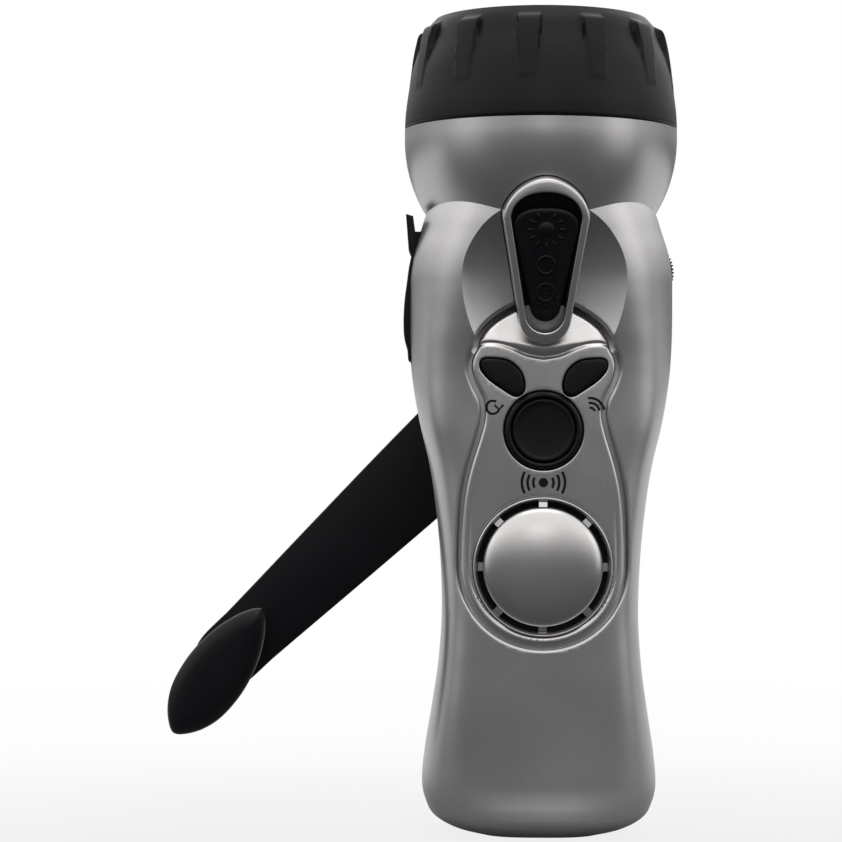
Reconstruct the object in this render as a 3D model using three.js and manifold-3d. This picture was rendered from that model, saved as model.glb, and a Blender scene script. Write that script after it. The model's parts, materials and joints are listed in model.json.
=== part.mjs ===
// A hand-cranked flashlight with a siren and a scan radio, standing on its flat base.
// Millimetres, +Z up. The controls face -Y, the crank is behind at +Y and is swung out towards -X.
// The origin is the middle of the base. Everything is worked out from the sizes named first.

import * as THREE from 'three';
import { mergeVertices } from 'three/addons/utils/BufferGeometryUtils.js';
import Module from 'manifold-3d';

const wasm = await Module();
wasm.setup();
const { Manifold, Mesh: ManifoldMesh } = wasm;

// Whole object
const totalHeight = 190;
const headRadius = 32;
const headBezelHeight = 25.5;
const shoulderDrop = 41;
const gripHalfWidth = 22.8;
const frontDepth = 21;
const rearDepth = 26.5;
const wall = 2.4;
const clearance = 0.3;
const partingOffset = 3;
const cutOverrun = 30;
const joinDepth = 1;
const weldDistance = 0.0001;

// How finely round shapes are cut
const handleSides = 28;
const roomSides = 16;
const bellSides = 28;
const bellRows = 5;
const headSides = 24;

// Bell, the round silver part under the head
const bellDrop = 28;
const bellRise = 32.8;
const collarWall = 2.2;
const threadCollarRadius = 29;
const threadCollarHeight = 5.2;
const lensCollarRadius = 27.2;

// Head
const lipRadius = 23;
const lipDepth = 4.8;
const lensThickness = 2;
const gasketThickness = 1.2;
const gasketWidth = 2.1;
const flangeThickness = 1.2;
const reflectorWall = 1.2;
const reflectorDepth = 23;
const reflectorThroat = 6.2;
const ribCount = 12;
const ribWidth = 5.9;
const ribFootWidth = 3.8;
const ribLength = 15;
const ribTopDrop = 2.6;
const ribTurn = -8;
const ledBoardRadius = 13;
const boardThickness = 1.5;
const ledRadius = 2.5;
const ledHeight = 6;
const ledCircle = 3.1;

// Switch on the neck
const switchTilt = 11.5;
const switchDrop = 8;
const switchFace = 31.6;
const bezelOutline = { wide: 9.7, narrow: 6, length: 22, rise: 9.8, squareness: 1.75 };
const pitOutline = { wide: 7.9, narrow: 4.4, length: 20.6, rise: 6.3, squareness: 2.2 };
const rockerOutline = { wide: 7.4, narrow: 3.4, length: 17.9, rise: 4.7, squareness: 2.6 };
const rockerDrop = 2.1;
const bezelDepth = 13;
const bezelWall = 2;
const pitDepth = 5.6;
const rockerThickness = 2.4;
const rockerStemWidth = 3;
const rockerStemLength = 5;
const rockerSlotLength = 7;
const switchBodySize = { x: 9, y: 6, z: 15 };

// Dish that the switch stands in
const dishHalfWidth = 18.5;
const dishHalfHeight = 25.8;
const dishDepth = 5.4;
const dishDrop = 17;
const dishFace = 22.9;
const dishTilt = 2.5;

// Control panel
const panelHalfWidth = 18.4;
const panelFootDrop = 18.1;
const panelHeadDrop = 19.6;
const panelProud = 0.4;
const panelThickness = 1.4;
const grooveWidth = 1.1;
const collarBand = 2.9;
const collarBack = 13;
const collarFootDrop = 15.4;

// Siren
const sirenDrop = 31.1;
const domeRadius = 13.7;
const domeRise = 2.6;
const domeWall = 1.2;
const sirenSlot = 1.2;
const sirenRim = 0.9;
const sirenDepth = 4.2;
const bridgeCount = 8;
const bridgeWidth = 1.9;
const speakerRadius = 15.6;
const speakerDepth = 6;
const speakerCuffWall = 1.4;
const coneRadius = 12.5;
const coneThickness = 1;
const coneDish = 0.6;
const basketThickness = 2;
const magnetRadius = 7;
const magnetFlange = 2;

// Buttons
const alarmDrop = 12.4;
const alarmRadius = 7.2;
const collarRadius = 8.8;
const buttonLength = 9.1;
const buttonOffset = 9.3;
const buttonDrop = 34.8;
const buttonProud = 1;
const buttonTravel = 0.8;
const plungerRadius = 2;
const buttonDepth = 5;
const tactSize = 6;
const tactDepth = 3.4;

// Boards
const boardFace = 7.6;
const boardHalfWidth = 19;
const boardDrop = 15;
const boardHeight = 54;
const boardTabReach = 25.6;
const boardTabHeight = 21;
const postRadius = 2.2;
const chipSize = 11;
const chipThickness = 1.8;

// Volume wheel
const volumeRadius = 7.6;
const volumeOffset = 24;
const volumeDrop = 18;
const volumeThickness = 3;
const volumeTeeth = 36;
const volumeToothDepth = 0.55;
const volumePlane = 0.6;

// Sockets and their cover
const socketPlane = 2.6;
const socketDrops = { earphone: 20.5, charge: 32 };
const socketRadius = 1.75;
const socketSize = { x: 8.6, y: 6.4, z: 7 };
const coverDrop = 5;
const coverHeight = 33.6;
const coverWidth = 9;
const coverInset = 1.2;
const coverProud = 1.2;
const coverPlay = 0.35;
const coverTabFoot = 0.76;
const coverCap = 0.88;
const coverTabReach = 1.35;
const coverTabThickness = 1.55;
const coverHingeRadius = 0.9;
const pegRadius = 1.35;
const pegLength = 1.6;

// Battery
const cellRadius = 7.8;
const cellHeight = 6.4;
const cellCount = 3;
const batteryBottom = 20;
const shelfThickness = 1.4;

// Crank
const crankDrop = 39.7;
const crankSwing = 46.35;
const crankPlane = 33.5;
const armThickness = 4.5;
const armReach = 108.7;
const armHalfWidth = 12.3;
const armTipHalfWidth = 8;
const hubRadius = 12.5;
const hubThickness = 5.5;
const hubChamfer = 1;
const hubSeatShare = 0.62;
const shaftSeatShare = 0.38;
const hubScrewLength = 7;
const hingeHalfWidth = 5.6;
const lugThickness = 4.6;
const hingePinRadius = 1.3;
const knobReach = 103.5;
const knobInner = 86.4;
const knobOuter = 123.5;
const knobHalfWidth = 7.9;
const knobDepth = 15.6;
const knobTurn = 7;
const knobPinRadius = 2;
const pinHead = 1.2;
const armRound = 0.8;
const armNeckLength = 6.5;
const shaftRadius = 3;
const bushWall = 2.2;
const hubScrewRadius = 1.3;
const hubScrewHead = 3.4;

// Gears
const driveTeeth = 48;
const driveModule = 1;
const idlerPinionTeeth = 10;
const idlerWheelTeeth = 30;
const rotorTeeth = 8;
const rotorModule = 0.8;
const meshPlay = 0.25;
const driveGearPlane = 12;
const driveGearThickness = 3.5;
const wheelPlane = 7;
const wheelThickness = 3.2;
const axleRadius = 1.5;
const axleSeat = 4;
const rotorShaftRadius = 1;
const plateFace = 4.5;
const plateThickness = 1.8;
const dynamoRadius = 12.5;
const dynamoDepth = 9;

// Screws
const screwRadius = 0.95;
const screwHeadRadius = 2.4;
const screwHeadHeight = 1.6;
const screwLength = 12;
const bossRadius = 3.4;
const shellScrewSeat = 9;
const shellScrewSpread = { low: 12.5, middle: 16.2, high: 18.5 };
const shellScrewHeights = { low: 13.5, middle: 50 };
const highScrewDrop = 7.5;
const plateScrewSpread = 17;
const plateFootDrop = 35.8;
const plateHeadRise = 29.2;

// Derived heights and centres
const shoulderHeight = totalHeight - shoulderDrop;
const bellCentreHeight = totalHeight - bellDrop;
const switchHeight = shoulderHeight - switchDrop;
const dishHeight = switchHeight - dishDrop;
const buttonHeight = switchHeight - buttonDrop;
const alarmHeight = buttonHeight - alarmDrop;
const sirenHeight = alarmHeight - sirenDrop;
const panelTop = switchHeight - panelHeadDrop;
const panelBottom = sirenHeight - panelFootDrop;
const boardTop = shoulderHeight - boardDrop;
const boardBottom = boardTop - boardHeight;
const boardTabBottom = boardTop - boardTabHeight;
const volumeHeight = shoulderHeight - volumeDrop;
const coverTop = shoulderHeight - coverDrop;
const coverBottom = coverTop - coverHeight;
const socketHeights = {
  earphone: shoulderHeight - socketDrops.earphone,
  charge: shoulderHeight - socketDrops.charge,
};
const crankHeight = shoulderHeight - crankDrop;
const shellScrewPlaces = {
  low: { x: shellScrewSpread.low, z: shellScrewHeights.low },
  middle: { x: shellScrewSpread.middle, z: shellScrewHeights.middle },
  high: { x: shellScrewSpread.high, z: shoulderHeight - highScrewDrop },
};
const plateScrewPlaces = {
  foot: { x: plateScrewSpread, z: crankHeight - plateFootDrop },
  head: { x: 0, z: crankHeight + plateHeadRise },
};
const headBezelBase = totalHeight - headBezelHeight;
const lipFloor = totalHeight - lipDepth;
const lensBase = lipFloor - clearance - lensThickness;
const gasketBase = lensBase - clearance - gasketThickness;
const flangeBase = gasketBase - clearance - flangeThickness;
const collarTop = flangeBase - clearance;
const reflectorBase = collarTop - reflectorDepth;
const ledBoardBase = reflectorBase - clearance - boardThickness;
const lensRadius = lensCollarRadius - 2 * collarWall / 3;
const driveGearTip = (driveTeeth / 2 + 1) * driveModule;
const idlerHeight = crankHeight - (driveTeeth + idlerPinionTeeth) * driveModule / 2 - meshPlay;
const rotorHeight = idlerHeight - (idlerWheelTeeth + rotorTeeth) * rotorModule / 2 - meshPlay;
const panelFace = frontDepth + panelProud;
const degrees = Math.PI / 180;

// Half-width of the handle: shares of shoulderHeight and of gripHalfWidth
const widthShares = [
  [0, 0.642], [0.01, 0.868], [0.027, 1.085], [0.05, 1.167], [0.078, 1.193], [0.122, 1.167], [0.193, 1.098],
  [0.264, 1.033], [0.349, 1], [0.43, 1.02], [0.503, 1.063], [0.573, 1.132], [0.644, 1.245], [0.716, 1.319],
  [0.785, 1.345], [0.858, 1.349], [0.906, 1.31], [0.94, 1.25], [0.966, 1.21], [1, 1.1],
];
// Depth of the front face: shares of shoulderHeight and of frontDepth
const frontShares = [
  [0, 0.643], [0.01, 0.81], [0.027, 0.915], [0.05, 0.965], [0.1, 0.995], [0.2, 1], [0.7, 1], [0.75, 1.03],
  [0.805, 1.11], [0.858, 1.18], [0.906, 1.21], [0.94, 1.19], [0.972, 1.11], [1, 0.98],
];
// Depth of the rear face, stepped in at the foot for the knob: shares of shoulderHeight and of rearDepth
const rearShares = [
  [0, 0.396], [0.01, 0.475], [0.027, 0.525], [0.055, 0.556], [0.13, 0.575], [0.208, 0.585], [0.23, 0.65],
  [0.255, 0.76], [0.285, 0.838], [0.34, 0.868], [0.47, 0.917], [0.6, 0.978], [0.7, 1], [0.85, 1.019],
  [0.92, 1.03], [0.96, 1.01], [1, 0.94],
];
// How square the front of the section is, against shares of shoulderHeight
const squareShares = [[0, 3], [0.1, 3.4], [0.3, 4.6], [0.62, 4.6], [0.72, 3.6], [0.82, 2.9], [1, 2.6]];
const rearSquareness = 3.2;
// Heights of the handle's sections, as shares of shoulderHeight
const sectionShares = [
  0, 0.012, 0.04, 0.1, 0.208, 0.24, 0.285, 0.36, 0.48, 0.6, 0.71, 0.8, 0.88, 0.94, 0.98, 1,
];
// Right side of the panel above its round end: shares of its height and of panelHalfWidth, top first
const panelShares = [
  [1, 0.353], [0.975, 0.53], [0.943, 0.69], [0.909, 0.785], [0.885, 0.8], [0.858, 0.845], [0.824, 0.864],
  [0.78, 0.82], [0.729, 0.735], [0.68, 0.722], [0.625, 0.766], [0.526, 0.89], [0.439, 0.965], [0.33, 0.995],
];
// Corner points of the left button, as shares of its length about its centre
const buttonShares = [
  [-0.49, 0.33], [-0.38, 0.385], [0.11, 0.375], [0.36, 0.17], [0.46, -0.01], [0.45, -0.25], [0.32, -0.44],
  [0.2, -0.41], [-0.24, -0.13], [-0.42, 0.12],
];
// Outside of the head bezel: shares of its height and of headRadius
const bezelShares = [
  [0, 1], [0.14, 0.994], [0.37, 0.969], [0.57, 0.9375], [0.76, 0.885], [0.93, 0.828], [1, 0.766],
];
const ribShares = [[0.24, 0.985], [0.33, 0.978], [0.8, 0.918], [0.91, 0.875], [0.96, 0.8]];
// Half-width of the arm: shares of armReach and, between its tip and hub widths, of the widening
const armShares = [[0.04, 1], [0.355, 0.72], [0.6, 0.42], [0.82, 0.12], [0.9, 0.02]];
// Outer edge of the socket cover: shares of its height and of coverProud beyond the body
const coverShares = [
  [0.06, 0.5], [0.14, 1], [0.25, 1.1], [0.39, 0.9], [0.52, 0.45], [0.63, 0.3], [0.71, 0.25],
];

// Paints and plastics
const silverPaint = new THREE.MeshStandardMaterial({ color: 0xa9a6a4, roughness: 0.36, metalness: 0.65 });
const silverTrim = new THREE.MeshStandardMaterial({ color: 0xbcb9b7, roughness: 0.24, metalness: 0.75 });
const blackPlastic = new THREE.MeshStandardMaterial({ color: 0x17181c, roughness: 0.55, metalness: 0 });
const blackRubber = new THREE.MeshStandardMaterial({ color: 0x131417, roughness: 0.8, metalness: 0 });
const clearPlastic = new THREE.MeshStandardMaterial({ color: 0xe4edf0, roughness: 0.05, metalness: 0 });
const chrome = new THREE.MeshStandardMaterial({ color: 0xe2e4e6, roughness: 0.08, metalness: 1 });
const steel = new THREE.MeshStandardMaterial({ color: 0x9a9c9f, roughness: 0.3, metalness: 1 });
const nylon = new THREE.MeshStandardMaterial({ color: 0xe8e4d6, roughness: 0.5, metalness: 0 });
const boardGreen = new THREE.MeshStandardMaterial({ color: 0x1f5a36, roughness: 0.5, metalness: 0 });
const cellSleeve = new THREE.MeshStandardMaterial({ color: 0x2d6f4a, roughness: 0.4, metalness: 0 });

// Value of a smooth curve through a table of [place, value] pairs
function curveAt(table, place) {
  const last = table.length - 1;
  if (place <= table[0][0]) return table[0][1];
  if (place >= table[last][0]) return table[last][1];
  const right = table.findIndex(([at]) => at > place);
  const slopeOf = (a, b) => (table[b][1] - table[a][1]) / (table[b][0] - table[a][0]);
  const gentler = (a, b) => {
    if (a * b <= 0) return 0;
    return Math.sign(a) * Math.min(Math.abs(a + b) / 2, 3 * Math.abs(a), 3 * Math.abs(b));
  };
  const tangent = (k) => {
    if (k === 0) return slopeOf(0, 1);
    if (k === last) return slopeOf(last - 1, last);
    return gentler(slopeOf(k - 1, k), slopeOf(k, k + 1));
  };
  const span = table[right][0] - table[right - 1][0];
  const t = (place - table[right - 1][0]) / span;
  const fall = t * t * (3 - 2 * t);
  const leave = t * (1 - t) * (1 - t) * span * tangent(right - 1);
  const arrive = t * t * (t - 1) * span * tangent(right);
  return table[right - 1][1] * (1 - fall) + table[right][1] * fall + leave + arrive;
}

// A closed geometry as a solid whose faces point out
function solid(geometry) {
  const bare = geometry.clone();
  bare.deleteAttribute('normal');
  bare.deleteAttribute('uv');
  const welded = mergeVertices(bare, weldDistance);
  const place = welded.attributes.position;
  const corner = [0, 1, 2].map(() => new THREE.Vector3());
  const faces = [];
  let volume = 0;
  for (let k = 0; k < welded.index.count; k += 3) {
    const [a, b, c] = [0, 1, 2].map((step) => welded.index.getX(k + step));
    if (a === b || b === c || c === a) continue;
    faces.push([a, b, c]);
    [a, b, c].forEach((index, n) => corner[n].fromBufferAttribute(place, index));
    volume += corner[0].dot(corner[1].cross(corner[2]));
  }
  const outward = volume > 0 ? faces : faces.map(([a, b, c]) => [a, c, b]);
  const mesh = new ManifoldMesh({
    numProp: 3,
    vertProperties: new Float32Array(place.array),
    triVerts: new Uint32Array(outward.flat()),
  });
  return new Manifold(mesh);
}

function geometryOf(body) {
  const mesh = body.getMesh();
  const geometry = new THREE.BufferGeometry();
  geometry.setAttribute('position', new THREE.BufferAttribute(new Float32Array(mesh.vertProperties), 3));
  geometry.setIndex(new THREE.BufferAttribute(new Uint32Array(mesh.triVerts), 1));
  return geometry;
}

// The two coordinates in which a flat ring of points is drawn
function flattened(ring) {
  const normal = new THREE.Vector3();
  ring.forEach((point, k) => normal.add(new THREE.Vector3().crossVectors(point, ring[(k + 1) % ring.length])));
  const steep = [Math.abs(normal.x), Math.abs(normal.y), Math.abs(normal.z)];
  const dropped = steep.indexOf(Math.max(...steep));
  const kept = ['x', 'y', 'z'].filter((axis, k) => k !== dropped);
  return ring.map((point) => new THREE.Vector2(point[kept[0]], point[kept[1]]));
}

// Triangles over a flat ring, all in the ring's own direction
function capFaces(ring) {
  const flat = flattened(ring);
  const turn = Math.sign(THREE.ShapeUtils.area(flat));
  return THREE.ShapeUtils.triangulateShape(flat, []).map(([a, b, c]) => {
    const same = Math.sign(THREE.ShapeUtils.area([flat[a], flat[b], flat[c]])) === turn;
    return same ? [a, b, c] : [a, c, b];
  });
}

// Solid through a stack of rings of equal point counts, closed by flat ends
function loft(rings) {
  const count = rings[0].length;
  const faces = [];
  for (let row = 0; row + 1 < rings.length; row++) {
    for (let k = 0; k < count; k++) {
      const next = (k + 1) % count;
      const [near, far] = [row * count, (row + 1) * count];
      faces.push(near + k, near + next, far + next, near + k, far + next, far + k);
    }
  }
  const top = (rings.length - 1) * count;
  capFaces(rings[0]).forEach(([a, b, c]) => faces.push(a, c, b));
  capFaces(rings[rings.length - 1]).forEach(([a, b, c]) => faces.push(top + a, top + b, top + c));
  const geometry = new THREE.BufferGeometry();
  const positions = rings.flat().flatMap((point) => point.toArray());
  geometry.setAttribute('position', new THREE.BufferAttribute(new Float32Array(positions), 3));
  geometry.setIndex(faces);
  return solid(geometry);
}

// An outline of [x, z] points moved out by a distance
function offsetOutline(points, distance) {
  const turn = Math.sign(THREE.ShapeUtils.area(points.map(([x, z]) => new THREE.Vector2(x, z))));
  return points.map(([x, z], k) => {
    const [ax, az] = points[(k + points.length - 1) % points.length];
    const [bx, bz] = points[(k + 1) % points.length];
    const before = new THREE.Vector2(x - ax, z - az).normalize();
    const after = new THREE.Vector2(bx - x, bz - z).normalize();
    const along = before.clone().add(after).normalize();
    const reach = turn * distance / Math.max(0.5, along.dot(before));
    return [x + along.y * reach, z - along.x * reach];
  });
}

// Solid whose outline steps in and out on its way from the back to the front: steps of [inset, y]
function terrace(points, steps) {
  return loft(steps.map(([inset, y]) => offsetOutline(points, -inset).map(([x, z]) => new THREE.Vector3(x, y, z))));
}

// Outline in x and z, from one y to another
const prism = (points, fromY, toY) => terrace(points, [[0, fromY], [0, toY]]);

// Lathe about the Z axis through [radius, z] points that start and end on the axis or close on themselves
function latheZ(profile, segments, closed = false) {
  const points = profile.map(([radius, z]) => new THREE.Vector2(radius, z));
  if (closed) points.push(points[0].clone());
  return solid(new THREE.LatheGeometry(points, segments).rotateX(Math.PI / 2));
}

// The same about a line along Y, from [radius, y] points
function latheY(profile, segments, x, z, closed = false) {
  const points = profile.map(([radius, y]) => new THREE.Vector2(radius, y));
  if (closed) points.push(points[0].clone());
  return solid(new THREE.LatheGeometry(points, segments).translate(x, 0, z));
}

function rodY(radius, x, z, fromY, toY, segments = 12) {
  const rod = new THREE.CylinderGeometry(radius, radius, Math.abs(toY - fromY), segments);
  return solid(rod.translate(x, (fromY + toY) / 2, z));
}

function rodX(radius, y, z, fromX, toX, segments = 12) {
  const rod = new THREE.CylinderGeometry(radius, radius, Math.abs(toX - fromX), segments).rotateZ(Math.PI / 2);
  return solid(rod.translate((fromX + toX) / 2, y, z));
}

function rodZ(radius, x, y, fromZ, toZ, segments = 12) {
  const rod = new THREE.CylinderGeometry(radius, radius, Math.abs(toZ - fromZ), segments).rotateX(Math.PI / 2);
  return solid(rod.translate(x, y, (fromZ + toZ) / 2));
}

function block(low, high) {
  const size = high.map((value, k) => value - low[k]);
  const middle = high.map((value, k) => (value + low[k]) / 2);
  return solid(new THREE.BoxGeometry(...size).translate(...middle));
}

const joined = (first, ...others) => others.reduce((body, other) => body.add(other), first);
const cut = (first, ...others) => others.reduce((body, other) => body.subtract(other), first);

function mesh(name, body, material) {
  const piece = new THREE.Mesh(geometryOf(body), material);
  piece.name = name;
  return piece;
}

// Handle: a stack of squared ovals, deeper in front or behind as the tables say. Its front may be kept level.
function handleRing(share, inset, count, frontLimit = Infinity) {
  const halfWidth = gripHalfWidth * curveAt(widthShares, share) - inset;
  const front = frontDepth * Math.min(curveAt(frontShares, share), frontLimit) - inset;
  const rear = rearDepth * curveAt(rearShares, share) - inset;
  const square = curveAt(squareShares, share);
  return Array.from({ length: count }, (_, k) => {
    const angle = 2 * Math.PI * k / count;
    const power = Math.sin(angle) < 0 ? square : rearSquareness;
    const bend = (value) => Math.sign(value) * Math.abs(value) ** (2 / power);
    const depth = Math.sin(angle) < 0 ? front : rear;
    const [x, y] = [halfWidth * bend(Math.cos(angle)), depth * bend(Math.sin(angle))];
    return new THREE.Vector3(x, y, share * shoulderHeight);
  });
}

const halfWidthAt = (z) => gripHalfWidth * curveAt(widthShares, z / shoulderHeight);

function handle(inset, count) {
  return loft(sectionShares.map((share) => handleRing(share, inset, count)));
}

// The same with a level front, which the control panel follows
function levelHandle(inset) {
  return loft(sectionShares.map((share) => handleRing(share, inset, handleSides, 1)));
}

// Room inside the handle, a wall away from its skin
function handleRoom() {
  const inside = sectionShares.filter((share) => share * shoulderHeight > wall && share < 0.99);
  const shares = [wall / shoulderHeight, ...inside.filter((share, k) => k % 2 === 0), 1 - wall / shoulderHeight];
  return loft(shares.map((share) => handleRing(share, wall, roomSides)));
}

function bell(inset) {
  const radius = headRadius - inset;
  const rise = bellRise - inset;
  const arc = Array.from({ length: bellRows }, (_, k) => (k / bellRows) ** 0.7).map((share) => {
    const angle = Math.PI / 2 * share;
    return [radius * Math.sin(angle), bellCentreHeight - rise * Math.cos(angle)];
  });
  const edge = inset > 0 ? [] : [[radius, bellCentreHeight], [radius, headBezelBase - clearance]];
  const top = inset > 0 ? [[radius, bellCentreHeight]] : [];
  const end = inset > 0 ? bellCentreHeight : headBezelBase - clearance;
  return latheZ([...arc, ...edge, ...top, [0, end]], bellSides);
}

function collars() {
  const lensInner = lensCollarRadius - collarWall;
  const foot = headBezelBase - wall;
  const step = headBezelBase + threadCollarHeight;
  const profile = [
    [lensInner, foot], [threadCollarRadius, foot], [threadCollarRadius, step],
    [lensCollarRadius, step], [lensCollarRadius, collarTop], [lensInner, collarTop],
  ];
  return latheZ(profile, bellSides, true);
}

// Frame of the switch: x across, y into the torch and z up its slope
function switchPlaced(body) {
  return body.rotate([switchTilt, 0, 0]).translate([0, -switchFace, switchHeight]);
}

function dish(extra) {
  const high = 1.6 * dishDepth;
  const reach = dishDepth + high;
  const spread = Math.sqrt(1 - (high / reach) ** 2);
  const bowl = new THREE.SphereGeometry(1, 20, 12);
  bowl.scale(dishHalfWidth / spread + extra, reach + extra, dishHalfHeight / spread + extra);
  return solid(bowl.translate(0, -high, 0)).rotate([dishTilt, 0, 0]).translate([0, -dishFace, dishHeight]);
}

// Teardrop outline about the centre of its wide end
function teardrop({ wide, narrow, length, rise, squareness }, steps = 10) {
  const lean = Math.asin((wide - narrow) / length);
  const top = Array.from({ length: steps + 1 }, (_, k) => Math.PI * k / steps).map((angle) => {
    const bend = (value) => Math.sign(value) * Math.abs(value) ** (2 / squareness);
    return [wide * bend(Math.cos(angle)), rise * bend(Math.sin(angle))];
  });
  const bottom = Array.from({ length: steps + 1 }, (_, k) => Math.PI + lean + (Math.PI - 2 * lean) * k / steps);
  return [...top, ...bottom.map((angle) => [narrow * Math.cos(angle), narrow * Math.sin(angle) - length])];
}

const onSlope = (outline, lift) => outline.map(([x, z]) => [x, z + lift]);

function panelOutline() {
  const height = panelTop - panelBottom;
  const right = panelShares.map(([up, out]) => [out * panelHalfWidth, panelBottom + up * height]);
  const left = right.map(([x, z]) => [-x, z]).reverse();
  const steps = 12;
  const arc = Array.from({ length: steps + 1 }, (_, k) => Math.PI * (1 - k / steps)).map((angle) => [
    panelHalfWidth * Math.cos(angle),
    panelBottom + panelHalfWidth - panelHalfWidth * Math.sin(angle),
  ]);
  return [...left.reverse(), ...arc, ...right.reverse()].reverse();
}

function buttonOutline(side) {
  const corners = buttonShares.map(([x, z]) => new THREE.Vector3(x * buttonLength, z * buttonLength, 0));
  const curve = new THREE.CatmullRomCurve3(corners, true, 'centripetal');
  return curve.getPoints(20).slice(1).map(({ x, y }) => [side * (buttonOffset - x), buttonHeight + y]);
}

const circleOutline = (radius, x, z, steps) => Array.from({ length: steps }, (_, k) => 2 * Math.PI * k / steps)
  .map((angle) => [x + radius * Math.cos(angle), z + radius * Math.sin(angle)]);

function shellBosses(sign) {
  const places = Object.values(shellScrewPlaces).flatMap(({ x, z }) => [[x, z], [-x, z]]);
  return places.map(([x, z]) => rodY(bossRadius, x, z, partingOffset - sign * clearance, sign * cutOverrun, 8));
}

function shellScrewHoles() {
  const places = Object.values(shellScrewPlaces).flatMap(({ x, z }) => [[x, z], [-x, z]]);
  const tip = shellScrewSeat - screwLength;
  return places.flatMap(([x, z]) => [
    rodY(screwRadius + clearance, x, z, tip - clearance, cutOverrun, 8),
    rodY(screwHeadRadius + clearance, x, z, shellScrewSeat, cutOverrun, 10),
  ]);
}

// Posts and walls inside the front shell, from its skin to what they carry
function frontSupports() {
  const boardRear = -boardFace - clearance;
  const lowPost = [0.79 * boardHalfWidth, boardBottom + 2 * postRadius];
  const highPost = [boardHalfWidth, boardTop - 3 * postRadius];
  const cuff = [
    [speakerRadius + clearance, -frontDepth], [speakerRadius + clearance + speakerCuffWall, -frontDepth],
    [speakerRadius + clearance + speakerCuffWall, sirenBack() + speakerDepth],
    [speakerRadius + clearance, sirenBack() + speakerDepth],
  ];
  const batteryTop = batteryBottom + cellCount * (cellHeight + clearance);
  const shelf = (z) => (
    block([-cellRadius, -cutOverrun, z], [cellRadius, partingOffset - clearance, z + shelfThickness]));
  return [
    ...[lowPost, highPost].flatMap(([x, z]) => [x, -x].map((place) => (
      rodY(postRadius, place, z, -cutOverrun, boardRear, 8)))),
    latheY(cuff, 20, 0, sirenHeight, true),
    shelf(batteryBottom - clearance - shelfThickness),
    shelf(batteryTop),
  ];
}

const sirenBack = () => -(panelFace - sirenDepth);

function rearSupports() {
  const { foot, head } = plateScrewPlaces;
  const plateRear = plateFace + plateThickness + clearance;
  const plateBosses = [[foot.x, foot.z], [-foot.x, foot.z], [head.x, head.z]];
  return [
    ...plateBosses.map(([x, z]) => rodY(bossRadius, x, z, plateRear, cutOverrun, 8)),
    rodY(bossRadius, 0, idlerHeight, driveGearPlane + driveGearThickness + 2 * clearance, cutOverrun, 8),
    rodY(shaftRadius + 2 * clearance + 2 * bushWall, 0, crankHeight, bushFace(), cutOverrun, 16),
  ];
}

const bushFace = () => driveGearPlane + driveGearThickness + 3 * clearance;

function rearHoles() {
  const { foot, head } = plateScrewPlaces;
  const tip = plateFace - clearance + screwLength;
  const places = [[foot.x, foot.z], [-foot.x, foot.z], [head.x, head.z]];
  return [
    ...places.map(([x, z]) => rodY(screwRadius + clearance, x, z, plateFace, tip + clearance, 8)),
    rodY(axleRadius + clearance, 0, idlerHeight, plateFace, axleEnd() + clearance, 10),
    rodY(shaftRadius + 2 * clearance + bushWall, 0, crankHeight, plateFace, cutOverrun, 16),
    rodY(driveGearTip + clearance, 0, crankHeight, plateFace, bushFace() - 2 * clearance, 2 * driveTeeth),
  ];
}

const axleEnd = () => driveGearPlane + driveGearThickness + axleSeat;

function sideHoles() {
  const slot = rodY(volumeRadius + clearance, volumeOffset, volumeHeight,
    -volumePlane - clearance, volumeThickness - volumePlane + clearance, 24);
  const sockets = Object.values(socketHeights).map((z) => (
    rodX(socketRadius, -socketPlane, z, -2 * headRadius, -socketFace(z) + joinDepth, 10)));
  return [slot, ...sockets];
}

// The whole outside of the two shells, and the two shells themselves
const crankPad = rodY(hubRadius + clearance, 0, crankHeight, partingOffset, rearDepth + clearance, 24);
const skin = handle(0, handleSides).subtract(dish(0)).add(bell(0)).add(crankPad);
const room = handleRoom().subtract(dish(wall)).add(bell(wall));
const beyond = 3 * headRadius;
const frontSide = block([-beyond, -beyond, -wall], [beyond, partingOffset - clearance / 2, totalHeight]);
const rearSide = block([-beyond, partingOffset + clearance / 2, -wall], [beyond, beyond, totalHeight]);
const hollow = skin.subtract(room).add(collars()).subtract(headRoom()).add(panelCollar());

function headRoom() {
  const lensInner = lensCollarRadius - collarWall;
  return rodZ(lensInner, 0, 0, bellCentreHeight - wall, headBezelBase + joinDepth, bellSides);
}

function bezelHole(extra) {
  const hole = prism(offsetOutline(teardrop(bezelOutline), extra), 2 * bezelDepth, -bezelDepth);
  return switchPlaced(hole);
}

// Raised collar round the head of the panel, where the dish would leave it without a seat
function panelCollar() {
  const foot = dishHeight - collarFootDrop;
  const band = prism(offsetOutline(panelOutline(), collarBand), -collarBack, -cutOverrun);
  return band.intersect(levelHandle(0)).intersect(block([-beyond, -beyond, foot], [beyond, beyond, totalHeight]));
}

function panelRecess() {
  const inset = panelThickness - panelProud + clearance;
  return prism(offsetOutline(panelOutline(), grooveWidth), 0, -cutOverrun).subtract(levelHandle(inset));
}

// Holes that run through the panel and the shell behind it
function controlHoles() {
  return [
    bezelHole(clearance),
    prism(circleOutline(collarRadius + clearance, 0, alarmHeight, 20), -boardFace, -cutOverrun),
    prism(offsetOutline(buttonOutline(1), clearance), -boardFace, -cutOverrun),
    prism(offsetOutline(buttonOutline(-1), clearance), -boardFace, -cutOverrun),
    prism(circleOutline(sirenRadius() + clearance, 0, sirenHeight, 24), sirenBack() + clearance, -cutOverrun),
  ];
}

const sirenRadius = () => domeRadius + sirenSlot + sirenRim;

// The largest piece, without the crumbs that cuts leave
const whole = (body) => body.decompose().sort((a, b) => b.volume() - a.volume())[0];

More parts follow.
